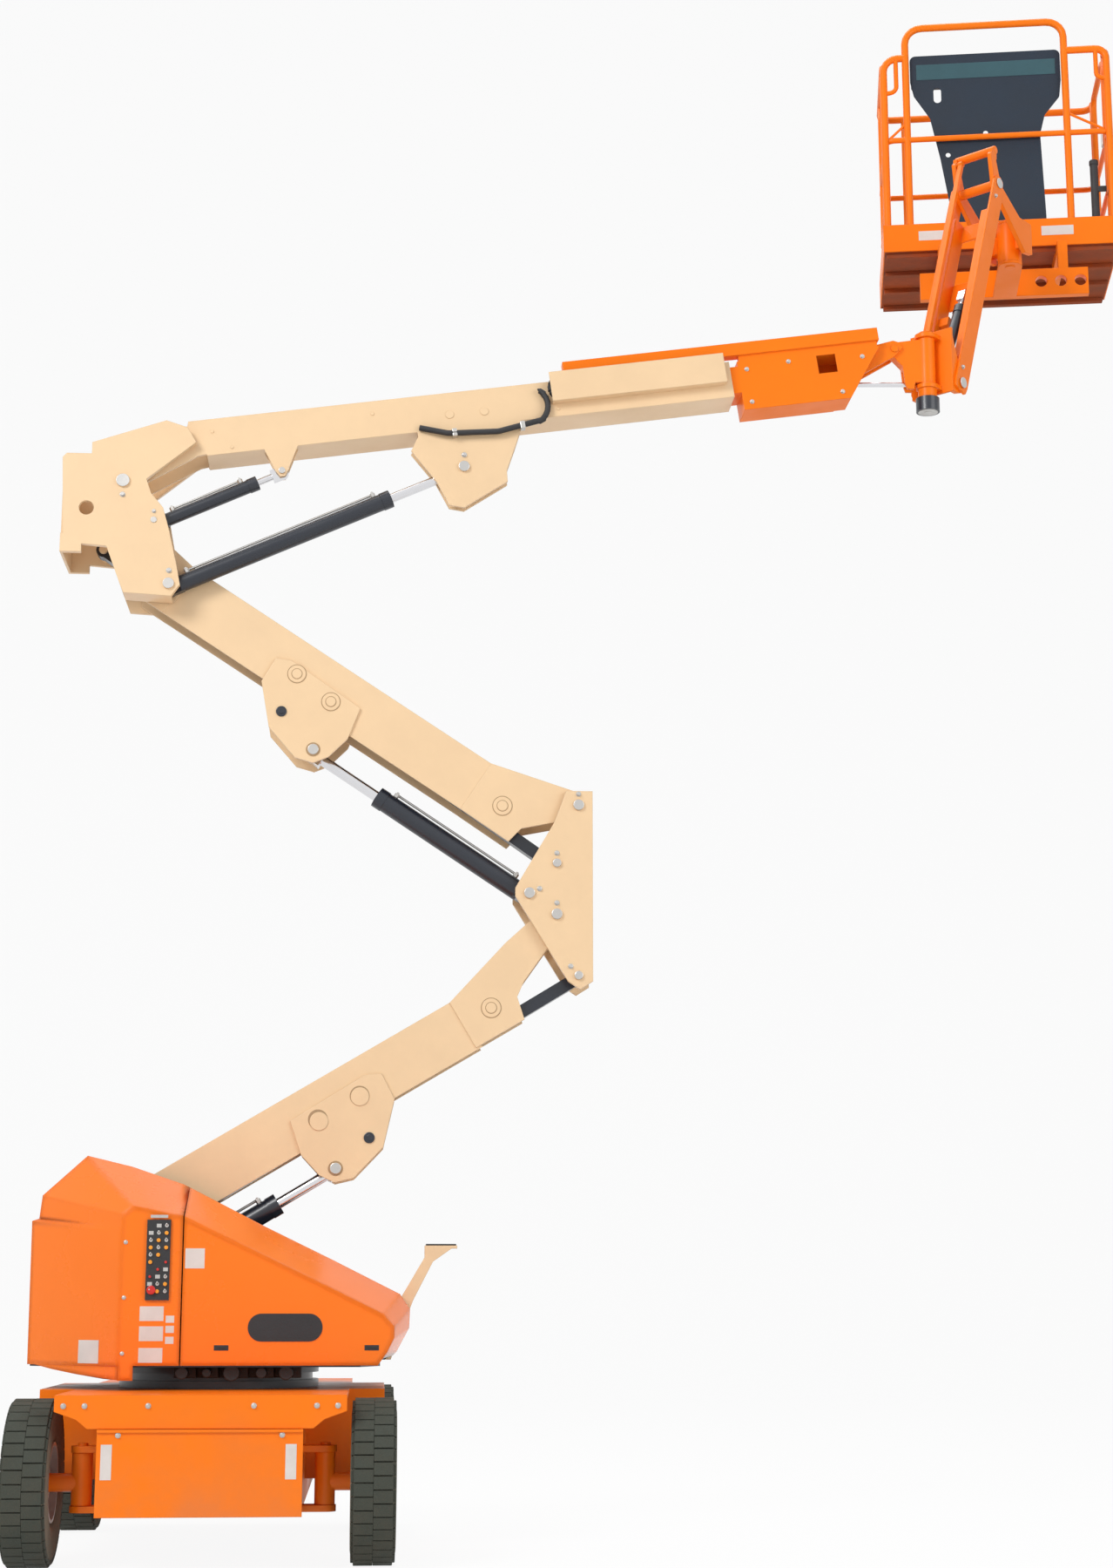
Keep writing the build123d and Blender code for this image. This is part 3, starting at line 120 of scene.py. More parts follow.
room = bpy.data.worlds.new("studio")
bpy.context.scene.world = room
room.use_nodes = True
tree = room.node_tree
soft_room = tree.nodes["Background"]
soft_room.inputs["Color"].default_value = (0.95, 0.97, 1.0, 1)
soft_room.inputs["Strength"].default_value = ROOM_LIGHT
white_room = tree.nodes.new("ShaderNodeBackground")
white_room.inputs["Color"].default_value = (1, 1, 1, 1)
white_room.inputs["Strength"].default_value = 1.0
mix = tree.nodes.new("ShaderNodeMixShader")
tree.links.new(looked_at(tree), mix.inputs[0])
tree.links.new(soft_room.outputs[0], mix.inputs[1])
tree.links.new(white_room.outputs[0], mix.inputs[2])
tree.links.new(mix.outputs[0], tree.nodes["World Output"].inputs["Surface"])

for name, stand, aim, size, power in (
    ("key_lamp", (-7, -10, 10), (0.8, 0, 3), 5.0, 1080),
    ("fill_lamp", (10, -9, 6), (1.5, 0, 3.5), 7.0, 460),
    ("top_lamp", (1, 2, 15), (1, 0, 2), 9.0, 720),
):
    lamp = bpy.data.lights.new(name, "AREA")
    lamp.size = size
    lamp.energy = power
    holder = bpy.data.objects.new(name, lamp)
    holder.location = stand
    holder.rotation_euler = (Vector(aim) - Vector(stand)).to_track_quat("-Z", "Y").to_euler()
    bpy.context.scene.collection.objects.link(holder)

# ---- chassis -------------------------------------------------------------------
# The welded frame under the machine, in glossy orange enamel over 12 mm sheet.
# Weather has dulled it in patches, and road dust lies along its lower edges.
weather = bpy.data.node_groups.new("weathered_surface", "ShaderNodeTree")
for name, kind, value in (
    ("Paint", "NodeSocketColor", (1, 1, 1, 1)),
    ("Dust", "NodeSocketColor", (0.3, 0.26, 0.2, 1)),
    ("Patch Size", "NodeSocketFloat", 3.0),
    ("Patchiness", "NodeSocketFloat", 0.2),
    ("Dust Amount", "NodeSocketFloat", 0.25),
    ("Dust Height", "NodeSocketFloat", 0.7),
    ("Polish", "NodeSocketFloat", 0.3),
    ("Grain Size", "NodeSocketFloat", 90.0),
):
    weather.interface.new_socket(name, in_out="INPUT", socket_type=kind).default_value = value
for name, kind in (("Color", "Color"), ("Roughness", "Float"), ("Height", "Float")):
    weather.interface.new_socket(name, in_out="OUTPUT", socket_type="NodeSocket" + kind)


def add_colour_mix(tree, blend="MIX"):
    """A node that mixes two colours."""
    node = tree.nodes.new("ShaderNodeMix")
    node.data_type = "RGBA"
    node.blend_type = blend
    return node


def socket_of(sockets, key):
    """A socket by its place, or the enabled one of a name."""
    return next(s for s in sockets if s.name == key and s.enabled) if isinstance(key, str) else sockets[key]


given = weather.nodes.new("NodeGroupInput")
result = weather.nodes.new("NodeGroupOutput")
where = weather.nodes.new("ShaderNodeTexCoord")
patches = weather.nodes.new("ShaderNodeTexNoise")
patches.inputs["Detail"].default_value = 7
patches.inputs["Roughness"].default_value = 0.62
grain = weather.nodes.new("ShaderNodeTexNoise")
grain.inputs["Detail"].default_value = 3
apart = weather.nodes.new("ShaderNodeSeparateXYZ")
fade = weather.nodes.new("ShaderNodeMapRange")
fade.inputs["To Min"].default_value = 1
fade.inputs["To Max"].default_value = 0
contrast = weather.nodes.new("ShaderNodeMapRange")
contrast.inputs["From Min"].default_value = 0.36
contrast.inputs["From Max"].default_value = 0.68
dusty = add_math(weather, "MULTIPLY")
dusty_here = add_math(weather, "MULTIPLY")
dull = add_colour_mix(weather, "MULTIPLY")
dull.inputs["B"].default_value = (0.62, 0.58, 0.56, 1)
dull_here = add_math(weather, "MULTIPLY")
coat = add_colour_mix(weather)
rough = add_math(weather, "MULTIPLY_ADD", 0.16)
rough_dust = add_math(weather, "MULTIPLY_ADD", 0.5)
for source, output, target, entry in (
    (where, "Object", patches, "Vector"), (where, "Object", grain, "Vector"), (where, "Object", apart, 0),
    (given, "Patch Size", patches, "Scale"), (given, "Grain Size", grain, "Scale"),
    (apart, "Z", fade, "Value"), (given, "Dust Height", fade, "From Max"),
    (patches, 0, contrast, "Value"), (contrast, 0, dusty, 0), (fade, 0, dusty, 1),
    (dusty, 0, dusty_here, 0), (given, "Dust Amount", dusty_here, 1),
    (contrast, 0, dull_here, 0), (given, "Patchiness", dull_here, 1),
    (dull_here, 0, dull, "Factor"), (given, "Paint", dull, "A"), (dull, "Result", coat, "A"),
    (given, "Dust", coat, "B"), (dusty_here, 0, coat, "Factor"), (coat, "Result", result, "Color"),
    (contrast, 0, rough, 0), (given, "Polish", rough, 2), (dusty_here, 0, rough_dust, 0),
    (rough, 0, rough_dust, 2), (rough_dust, 0, result, "Roughness"), (grain, 0, result, "Height"),
):
    weather.links.new(socket_of(source.outputs, output), socket_of(target.inputs, entry))


def finish_of(name, paint, polish, bump, metallic=0.0, coat_weight=0.0, patchiness=0.2, dust=0.25,
              patch_size=3.0, grain_size=90.0, dust_height=0.7, edge=0.0, gloss=0.5):
    """A weathered material: colour, polish, how deep its grain is and how round its edges look."""
    made = bpy.data.materials.new(name)
    made.use_nodes = True
    tree = made.node_tree
    shader = tree.nodes["Principled BSDF"]
    shader.inputs["Metallic"].default_value = metallic
    shader.inputs["Coat Weight"].default_value = coat_weight
    shader.inputs["Coat Roughness"].default_value = 0.12
    shader.inputs["Specular IOR Level"].default_value = gloss
    surface = tree.nodes.new("ShaderNodeGroup")
    surface.node_tree = weather
    for key, value in (("Paint", (*paint, 1)), ("Polish", polish), ("Patchiness", patchiness),
                       ("Dust Amount", dust), ("Patch Size", patch_size), ("Grain Size", grain_size),
                       ("Dust Height", dust_height)):
        surface.inputs[key].default_value = value
    relief = tree.nodes.new("ShaderNodeBump")
    relief.inputs["Strength"].default_value = bump
    relief.inputs["Distance"].default_value = 0.004
    tree.links.new(surface.outputs["Color"], shader.inputs["Base Color"])
    tree.links.new(surface.outputs["Roughness"], shader.inputs["Roughness"])
    tree.links.new(surface.outputs["Height"], relief.inputs["Height"])
    tree.links.new(relief.outputs[0], shader.inputs["Normal"])
    if edge:
        eased = tree.nodes.new("ShaderNodeBevel")
        eased.samples = 6
        eased.inputs["Radius"].default_value = edge
        tree.links.new(eased.outputs[0], relief.inputs["Normal"])
    return made


def dress(material, *names):
    """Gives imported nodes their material."""
    for name in names:
        nodes[name].data.materials.clear()
        nodes[name].data.materials.append(material)


def place(mesh_in, name, material, body, smooth=False):
    """Turns a bmesh into a piece that rides on a body."""
    bmesh.ops.recalc_face_normals(mesh_in, faces=mesh_in.faces)
    for face in mesh_in.faces:
        face.smooth = smooth
    made = bpy.data.meshes.new(name)
    mesh_in.to_mesh(made)
    mesh_in.free()
    made.materials.append(material)
    owner = bpy.data.objects.new(name, made)
    bpy.context.scene.collection.objects.link(owner)
    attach(owner, body)
    return owner


def ease(target, rims, rounding, segments=2):
    """Rounds a list of edges off."""
    bmesh.ops.bevel(target, geom=rims, offset=rounding, affect="EDGES", segments=segments, profile=0.5,
                    material=-1)


def add_bar(target, centre, size, rounding=0.002, turn=None):
    """A bar with eased edges."""
    matrix = Matrix.Translation(centre) @ (turn or Matrix()) @ Matrix.Diagonal((*size, 1))
    made = bmesh.ops.create_cube(target, size=1, matrix=matrix)
    ease(target, list({e for v in made["verts"] for e in v.link_edges}), rounding)


def add_round(target, centre, axis, radius, depth, rounding=0.002, segments=24, tip=None):
    """A round with eased rims, centred on a point; a tip radius makes it taper."""
    matrix = Matrix.Translation(centre) @ Vector(axis).to_track_quat("Z", "Y").to_matrix().to_4x4()
    made = bmesh.ops.create_cone(target, cap_ends=True, segments=segments, radius1=radius,
                                 radius2=radius if tip is None else tip, depth=depth, matrix=matrix)
    caps = [f for f in {f for v in made["verts"] for f in v.link_faces} if len(f.verts) > 4]
    ease(target, list({e for f in caps for e in f.edges}), rounding)


def add_bolt(target, centre, axis, across=0.018, height=0.009):
    """A hexagon bolt head on its washer; the centre is on the plate."""
    washer = 0.003
    axis = Vector(axis).normalized()
    add_round(target, Vector(centre) + axis * (washer / 2), axis, across * 0.78, washer, 0.0008, 16)
    add_round(target, Vector(centre) + axis * (washer + height / 2), axis, across * 0.56, height, 0.0012, 6)


orange = finish_of("orange_enamel", (0.97, 0.2, 0.004), 0.3, 0.05, coat_weight=0.04, patchiness=0.14,
                   dust=0.25, edge=0.006, gloss=0.2)
steel = finish_of("zinc_plated_steel", (0.55, 0.54, 0.52), 0.3, 0.08, metallic=0.85, patchiness=0.35,
                  patch_size=14)
SMALL_BOLT = {"across": 0.014, "height": 0.007}
END_PLATE, END_BOLTS_UP = 1.1, 0.615
dress(orange, "chassis_frame", "steering_knuckle_left", "steering_knuckle_right")
bolts = bmesh.new()
for side in (-1, 1):
    add_bolt(bolts, (side * 0.31, -1.102, 0.507), (0, -1, 0), **SMALL_BOLT)
    for x in (0.2, 0.44, 0.52):
        add_bolt(bolts, (side * x, -END_PLATE, END_BOLTS_UP), (0, -1, 0), **SMALL_BOLT)
        add_bolt(bolts, (side * x, END_PLATE, END_BOLTS_UP), (0, 1, 0), **SMALL_BOLT)
place(bolts, "chassis_bolts", steel, "chassis")

# ---- chassis labels ------------------------------------------------------------
# Two blank plates riveted to the front cover, one towards each wheel. They are thin
# white-painted aluminium with a bare border.
label_white = finish_of("blank_label_film", (0.72, 0.66, 0.62), 0.4, 0.02, patchiness=0.25, dust=0.1,
                        patch_size=9)
plates = bmesh.new()
for x in (-0.352, 0.345):
    add_bar(plates, (x, -1.1026, 0.408), (0.042, 0.0015, 0.13), 0.0005)
place(plates, "chassis_label_plates", label_white, "chassis")

# ---- drive, steering and slewing parts -----------------------------------------
# Castings and machined parts under the deck: rear drive hubs, the slewing ring and
# the ballast. They are painted blue-black and hold grease and dust.
blue_black = finish_of("blue_black_enamel", (0.012, 0.016, 0.026), 0.28, 0.05, coat_weight=0.25,
                       patchiness=0.3, dust=0.25)
casting = finish_of("painted_casting", (0.035, 0.036, 0.04), 0.55, 0.45, patchiness=0.4, dust=0.5,
                    grain_size=60)
RING_BOLTS, RING_BOLT_CIRCLE = 24, 0.405
dress(blue_black, "slewing_ring", "drive_hubs")
dress(casting, "chassis_ballast")
ring_bolts = bmesh.new()
for k in range(RING_BOLTS):
    turn = 2 * pi * k / RING_BOLTS
    centre = (RING_BOLT_CIRCLE * cos(turn), RING_BOLT_CIRCLE * sin(turn), 0.655)
    add_bolt(ring_bolts, centre, (0, 0, 1), 0.016, 0.008)
place(ring_bolts, "slewing_ring_bolts", steel, "chassis")

# ---- tyres ---------------------------------------------------------------------
# Solid non-marking tyres in grey-green rubber. Two rows of tread blocks stand on
# the carcass, staggered, with narrow cross grooves between them.
rubber = finish_of("grey_green_rubber", (0.048, 0.054, 0.042), 0.7, 0.5, patchiness=0.4, dust=0.16,
                   patch_size=8, grain_size=140, dust_height=0.75, gloss=0.3)
groove_dust = finish_of("dusty_groove_rubber", (0.16, 0.15, 0.115), 0.85, 0.5, patchiness=0.4, dust=0.6,
                        patch_size=9, grain_size=140, dust_height=1.4, gloss=0.2)
TREAD_BLOCKS = 38
AXLE_UP = 0.3175
WHEELS = (("front_left", -0.66, -0.825), ("front_right", 0.66, -0.825),
          ("rear_left", -0.66, 0.825), ("rear_right", 0.66, 0.825))
FLANK = [(0.070, 0.152), (0.081, 0.170), (0.086, 0.185), (0.089, 0.215), (0.0885, 0.262), (0.085, 0.288),
         (0.076, 0.3035)]
for name, x, y in WHEELS:
    tyre = bmesh.new()
    section = [(-a, r) for a, r in FLANK] + FLANK[::-1]
    ring = [tyre.verts.new((a, 0, r)) for a, r in section]
    hoop = [tyre.edges.new(two) for two in zip(ring, ring[1:] + ring[:1])]
    bmesh.ops.spin(tyre, geom=ring + hoop, cent=(0, 0, 0), axis=(1, 0, 0), angle=2 * pi, steps=56,
                   use_merge=True)
    blocks = bmesh.new()
    for k in range(TREAD_BLOCKS):
        for row in (-1, 1):
            turn = Matrix.Rotation(2 * pi * (k + 0.25 * row) / TREAD_BLOCKS, 4, "X")
            crown, shoulder = turn @ Vector((row * 0.038, 0, 0.3085)), turn @ Vector((row * 0.0795, 0, 0.2965))
            add_bar(blocks, crown, (0.0757, 0.0475, 0.0155), 0.0022, turn)
            add_bar(blocks, shoulder, (0.013, 0.045, 0.018), 0.0025, turn)
    for part_of_tyre, label, finish in ((tyre, "carcass_", groove_dust), (blocks, "tread_", rubber)):
        bmesh.ops.translate(part_of_tyre, verts=part_of_tyre.verts, vec=(x, y, AXLE_UP))
        owner = place(part_of_tyre, label + name, finish, "wheel_" + name)
        if label == "carcass_":
            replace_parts(owner, "tyre_" + name)

# ---- rims ----------------------------------------------------------------------
# Steel wheels in pale grey paint. Nine nuts hold each disc to its hub, around a
# pressed hub cap.
rim_paint = finish_of("pale_grey_rim_paint", (0.56, 0.55, 0.52), 0.4, 0.08, patchiness=0.35, dust=0.5,
                      patch_size=7)
WHEEL_NUTS, NUT_CIRCLE = 9, 0.095
for name, x, y in WHEELS:
    dress(rim_paint, "rim_" + name)
    out = 1 if x > 0 else -1
    nuts = bmesh.new()
    for k in range(WHEEL_NUTS):
        turn = 2 * pi * k / WHEEL_NUTS
        seat = (x + out * 0.030, y + NUT_CIRCLE * cos(turn), AXLE_UP + NUT_CIRCLE * sin(turn))
        add_bolt(nuts, seat, (out, 0, 0), 0.024, 0.014)
    add_round(nuts, (x + out * 0.064, y, AXLE_UP), (out, 0, 0), 0.030, 0.006, 0.002)
    place(nuts, "wheel_nuts_" + name, steel, "wheel_" + name)

# ---- turntable -----------------------------------------------------------------
# The slewing deck with its boom cheeks, in blue-black. The counterweight stands at
# the tail and black battery cases stand under both hoods.
black_plastic = finish_of("black_moulded_plastic", (0.018, 0.018, 0.02), 0.5, 0.35, patchiness=0.3,
                          dust=0.3, grain_size=160)
MANIFOLD_UP = 0.7225
dress(blue_black, "turntable_frame")
dress(casting, "counterweight")
dress(black_plastic, "battery_packs")
under = bmesh.new()
for x, width in ((-0.12, 0.07), (-0.02, 0.05), (0.08, 0.09), (0.2, 0.06), (0.3, 0.08)):
    add_round(under, (x, -0.50, 0.722), (0, 1, 0), width * 0.36, 0.09, 0.004)
    add_bar(under, (x + 0.02, -0.45, MANIFOLD_UP), (width, 0.05, 0.044), 0.004)
add_bar(under, (0.09, -0.41, MANIFOLD_UP), (0.5, 0.05, 0.044), 0.004)
place(under, "deck_valves", black_plastic, "turntable")

# ---- hoods and rear cover ------------------------------------------------------
# Moulded covers in orange over the batteries and the tail. Each hood has two inset
# latches, a plain black badge plate and blank labels, and opens about its inner edge.
moulded_orange = finish_of("moulded_orange_cover", (0.98, 0.195, 0.004), 0.2, 0.03, coat_weight=0.15,
                           patchiness=0.1, dust=0.12, patch_size=1.6, edge=0.03, gloss=0.3)
COVER_SIDE = 0.6
dress(moulded_orange, "hood_near", "hood_far", "rear_cover")


def add_side_label(target, side, x, z, width, height):
    """A blank film label on the covers' flat side."""
    add_bar(target, (x, side * (COVER_SIDE + 0.0005), z), (width, 0.001, height), 0.0004)


for side, body, name in ((-1, "hood_near", "near"), (1, "hood_far", "far")):
    latches = bmesh.new()
    for x in (0.04, 0.645):
        add_bar(latches, (x, side * 0.6008, 0.822), (0.058, 0.0016, 0.021), 0.0007)
        add_bar(latches, (x, side * 0.6022, 0.8245), (0.036, 0.003, 0.009), 0.0014)
    badge = Matrix.Translation((0.295, side * 0.6015, 0.902)) @ Matrix.Diagonal((0.3, 0.003, 0.11, 1))
    plate = bmesh.ops.create_cube(latches, size=1, matrix=badge)
    through = {e for v in plate["verts"] for e in v.link_edges
               if abs(e.verts[0].co.y - e.verts[1].co.y) > 0.001}
    ease(latches, list(through), 0.054, 10)
    place(latches, "hood_latches_and_badge_" + name, black_plastic, body)
    labels = bmesh.new()
    add_side_label(labels, side, -0.075, 1.176, 0.078, 0.08)
    place(labels, "hood_label_" + name, label_white, body)
side_labels = bmesh.new()
for z in (0.957, 0.878, 0.793):
    add_side_label(side_labels, -1, -0.242, z, 0.096, 0.058)
for z in (0.935, 0.895, 0.852):
    add_side_label(side_labels, -1, -0.168, z, 0.034, 0.028)
tail_turn = Matrix.Rotation(radians(-40.6), 4, "Z")
add_bar(side_labels, (-0.5006, -0.4962, 0.806), (0.118, 0.001, 0.092), 0.0004, tail_turn)
place(side_labels, "rear_cover_labels", label_white, "turntable")
skirts = bmesh.new()
for side in (-1, 1):
    edge = [(-0.372, side * 0.6, 0.756), (-0.372, side * 0.6, 0.696), (-0.43, side * 0.555, 0.700),
            (-0.55, side * 0.4527, 0.716), (-0.66, side * 0.3585, 0.734), (-0.76, side * 0.273, 0.756)]
    strip = skirts.faces.new([skirts.verts.new(p) for p in edge])
    pulled = bmesh.ops.extrude_face_region(skirts, geom=[strip])
    move_grown(skirts, pulled, (0.0033, -side * 0.0038, 0))
place(skirts, "rear_cover_skirts", moulded_orange, "turntable")
seams = bmesh.new()
for side in (-1, 1):
    for z in (0.80, 1.02, 1.24):
        add_bolt(seams, (-0.355, side * COVER_SIDE, z), (0, side, 0), 0.011, 0.004)
place(seams, "rear_cover_bolts", steel, "turntable")

# ---- ground control panel ------------------------------------------------------
# A black moulded panel let into the near side of the tail. It carries toggles, amber
# caps, decal plates and red buttons, with a large red stop button at the foot.
red_plastic = finish_of("red_button_plastic", (0.6, 0.02, 0.015), 0.35, 0.03, patchiness=0.15, dust=0.1)
amber_plastic = finish_of("amber_lens_plastic", (0.85, 0.33, 0.02), 0.35, 0.03, patchiness=0.15, dust=0.1)
PANEL_FACE = -0.6128
PANEL_COLUMNS, PANEL_ROWS = 3, 10
dress(black_plastic, "control_panel")
toggles = bmesh.new()
caps = bmesh.new()
stops = bmesh.new()
for k in range(PANEL_COLUMNS * PANEL_ROWS):
    row, column = divmod(k, PANEL_COLUMNS)
    x, z = -0.249 + 0.027 * column + 0.004 * ((k * 7) % 3 - 1), 1.045 + 0.029 * row
    kind = (k * 5 + row) % 7
    if kind in (0, 3):
        add_round(toggles, (x, -0.6135, z), (0, -1, 0), 0.0075, 0.004, 0.001, 12)
        add_round(toggles, (x, -0.62, z + 0.004), (0, -1, 0.5), 0.003, 0.017, 0.0008, 10)
    elif kind in (1, 5):
        add_round(caps, (x, -0.615, z), (0, -1, 0), 0.008, 0.007, 0.0015, 14)
    elif kind == 2:
        add_bar(toggles, (x, PANEL_FACE, z), (0.019, 0.0015, 0.015), 0.0005)
    elif kind == 4 and row not in (0, PANEL_ROWS - 1):
        add_round(stops, (x, -0.615, z), (0, -1, 0), 0.0055, 0.006, 0.001, 12)
add_round(stops, (-0.246, -0.619, 1.05), (0, -1, 0), 0.018, 0.013, 0.004)
add_bar(toggles, (-0.222, PANEL_FACE, 1.343), (0.07, 0.0015, 0.012), 0.0005)
place(toggles, "panel_toggles", steel, "turntable")
place(caps, "panel_amber_caps", amber_plastic, "turntable")
place(stops, "panel_stop_button", red_plastic, "turntable")

# ---- boom rest -----------------------------------------------------------------
# A bent cream post at the front of the turntable that catches the folded booms. A
# black rubber pad lies on its top.
cream = finish_of("cream_enamel", (0.84, 0.60, 0.36), 0.3, 0.05, coat_weight=0.1, patchiness=0.16,
                  dust=0.1, dust_height=3.0, edge=0.005, gloss=0.4)
dress(cream, "boom_rest")
pad = bmesh.new()
add_bar(pad, (0.934, -0.09, 1.2435), (0.13, 0.05, 0.007), 0.002)
place(pad, "boom_rest_pad", black_plastic, "turntable")

# ---- lower boom and lower upright ----------------------------------------------
# Welded cream box sections. Pressed rings stiffen the lift bracket, each pin has a
# plated head, and one bolt beside it keeps the pin from turning.
# A brown cream, darker than the booms, drawn as thin circles around the pressed rings and pin heads: painted
# shade at their raised edges.
ring_shade_paint = finish_of("ring_edge_painted_shade", (0.42, 0.27, 0.14), 0.5, 0.2, patchiness=0.3, dust=0.2,
                        dust_height=3.0)
LOWER_LIFT_HEAD = (0.477, 1.568)
MIDDLE_LIFT_FOOT = (1.311, 2.776)
PIN_SHADE_RING = (0.032, 0.0022, 0.0008, 32)
dress(cream, "lower_boom", "lower_upright")
dress(blue_black, "lower_timing_link", "middle_timing_link")


def add_ring(target, shade_rings, x, y, z, radius, out):
    """A pressed ring with a raised middle on an upright plate, and darker circles of painted shade around its
    rim and its middle.
    """
    middle = radius * 0.55
    add_round(shade_rings, (x, y + out * 0.0008, z), (0, out, 0), radius + 0.0035, 0.0016, 0.0006, 32)
    add_round(shade_rings, (x, y + out * 0.0035, z), (0, out, 0), middle + 0.003, 0.0014, 0.0006, 32)
    add_round(target, (x, y + out * 0.0015, z), (0, out, 0), radius, 0.003, 0.001, 32)
    add_round(target, (x, y + out * 0.0045, z), (0, out, 0), middle, 0.003, 0.0012, 32)


def place_plug_and_pin(boom, lift, side, plug_at, pin_at, y, out, pin_depth):
    """The pin head on a boom's lift bracket, and the dark plug beside it."""
    plug = bmesh.new()
    add_round(plug, (plug_at[0], y + out * 0.003, plug_at[1]), (0, out, 0), 0.024, 0.006, 0.002, 28)
    add_round(plug, (plug_at[0], y + out * 0.007, plug_at[1]), (0, out, 0), 0.014, 0.004, 0.001, 6)
    place(plug, boom + "_plug_" + side, blue_black, boom)
    head = bmesh.new()
    add_round(head, (pin_at[0], y + out * 0.002, pin_at[1]), (0, out, 0), 0.024, pin_depth, 0.002)
    place(head, lift + "_pin_" + side, steel, boom)


for name, y, out in (("near", -0.052, -1), ("far", 0.132, 1)):
    near = out < 0
    rings = bmesh.new()
    shade_rings = bmesh.new()
    add_ring(rings, shade_rings, 1.146, -0.046 if near else 0.126, 2.269, 0.042, out)
    place(rings, "lower_boom_rings_" + name, cream, "lower_boom")
    # Darker circles of painted shade around the lift pin head and two more ring outlines on the bracket.
    add_round(shade_rings, (LOWER_LIFT_HEAD[0], y + out * 0.001, LOWER_LIFT_HEAD[1]), (0, out, 0), *PIN_SHADE_RING)
    for x, z in ((0.397, 1.778), (0.576, 1.881)):
        for radius in (0.043, 0.025):
            add_round(shade_rings, (x, y - out * 0.0002, z), (0, out, 0), radius, 0.0012, 0.0005, 32)
    place(shade_rings, "lower_boom_painted_shade_circles_" + name, ring_shade_paint, "lower_boom")
    place_plug_and_pin("lower_boom", "lower_lift", name, (0.62, 1.70), LOWER_LIFT_HEAD, y, out, 0.016)
    pins = bmesh.new()
    face, plate = (-0.091, -0.085) if near else (0.171, 0.165)
    for x, z, radius, bolt_x, bolt_z in (
        (1.433, 2.683, 0.024, 0.0, 0.05), (1.529, 2.411, 0.019, -0.035, 0.04), (1.530, 3.176, 0.024, 0.0, 0.05),
        (1.433, 2.912, 0.019, 0.0, 0.045), (*MIDDLE_LIFT_FOOT, 0.024, 0.045, 0.02),
    ):
        add_round(pins, (x, face + out * 0.003, z), (0, out, 0), radius, 0.007, 0.002, 24)
        add_bolt(pins, (x + bolt_x, plate, z + bolt_z), (0, out, 0), 0.015, 0.008)
    place(pins, "upright_pin_heads_" + name, steel, "lower_upright")

# ---- middle boom ---------------------------------------------------------------
# The second cream box, leaning back over the machine. Its lift bracket and its foot
# carry the same pressed rings.
MIDDLE_LIFT_HEAD = (0.344, 3.416)
dress(cream, "middle_boom")
for name, y, out in (("near", -0.065, -1), ("far", 0.145, 1)):
    rings = bmesh.new()
    shade_rings = bmesh.new()
    for x, z in ((0.265, 3.762), (0.419, 3.636)):
        add_ring(rings, shade_rings, x, y, z, 0.04, out)
    add_ring(rings, shade_rings, 1.191, -0.057 if out < 0 else 0.137, 3.173, 0.042, out)
    place(rings, "middle_boom_rings_" + name, cream, "middle_boom")
    # A darker circle of painted shade around the lift pin head.
    add_round(shade_rings, (MIDDLE_LIFT_HEAD[0], y + out * 0.001, MIDDLE_LIFT_HEAD[1]), (0, out, 0), *PIN_SHADE_RING)
    place(shade_rings, "middle_boom_painted_shade_circles_" + name, ring_shade_paint, "middle_boom")
    place_plug_and_pin("middle_boom", "middle_lift", name, (0.199, 3.588), MIDDLE_LIFT_HEAD, y, out, 0.014)

# ---- upper upright -------------------------------------------------------------
# The plated box that carries the main boom above the tower. Its pins and keeper bolts
# are zinc plated.
BOOM_PIVOT = (-0.526, 4.61)
MAIN_LIFT_FOOT = (-0.309, 4.135)
MASTER_FOOT = (-0.384, 4.43)
dress(cream, "upper_upright")
for name, face, out in (("near", -0.19, -1), ("far", 0.165, 1)):
    pins = bmesh.new()
    kept = [(BOOM_PIVOT, 0.03, 0.0095, 0.0015, -0.065, (0.016, 0.008))]
    if out < 0:
        kept += [(MAIN_LIFT_FOOT, 0.025, 0.0095, 0.0015, 0.06, (0.016, 0.008)),
                 (MASTER_FOOT, 0.014, 0.002, 0.0012, 0.04, (0.012, 0.006))]
    for (x, z), radius, proud, rounding, bolt_up, bolt in kept:
        add_round(pins, (x, face + out * proud, z), (0, out, 0), radius, 0.004, rounding)
        add_bolt(pins, (x, face, z + bolt_up), (0, out, 0), *bolt)
    place(pins, "upper_pin_heads_" + name, steel, "upper_upright")

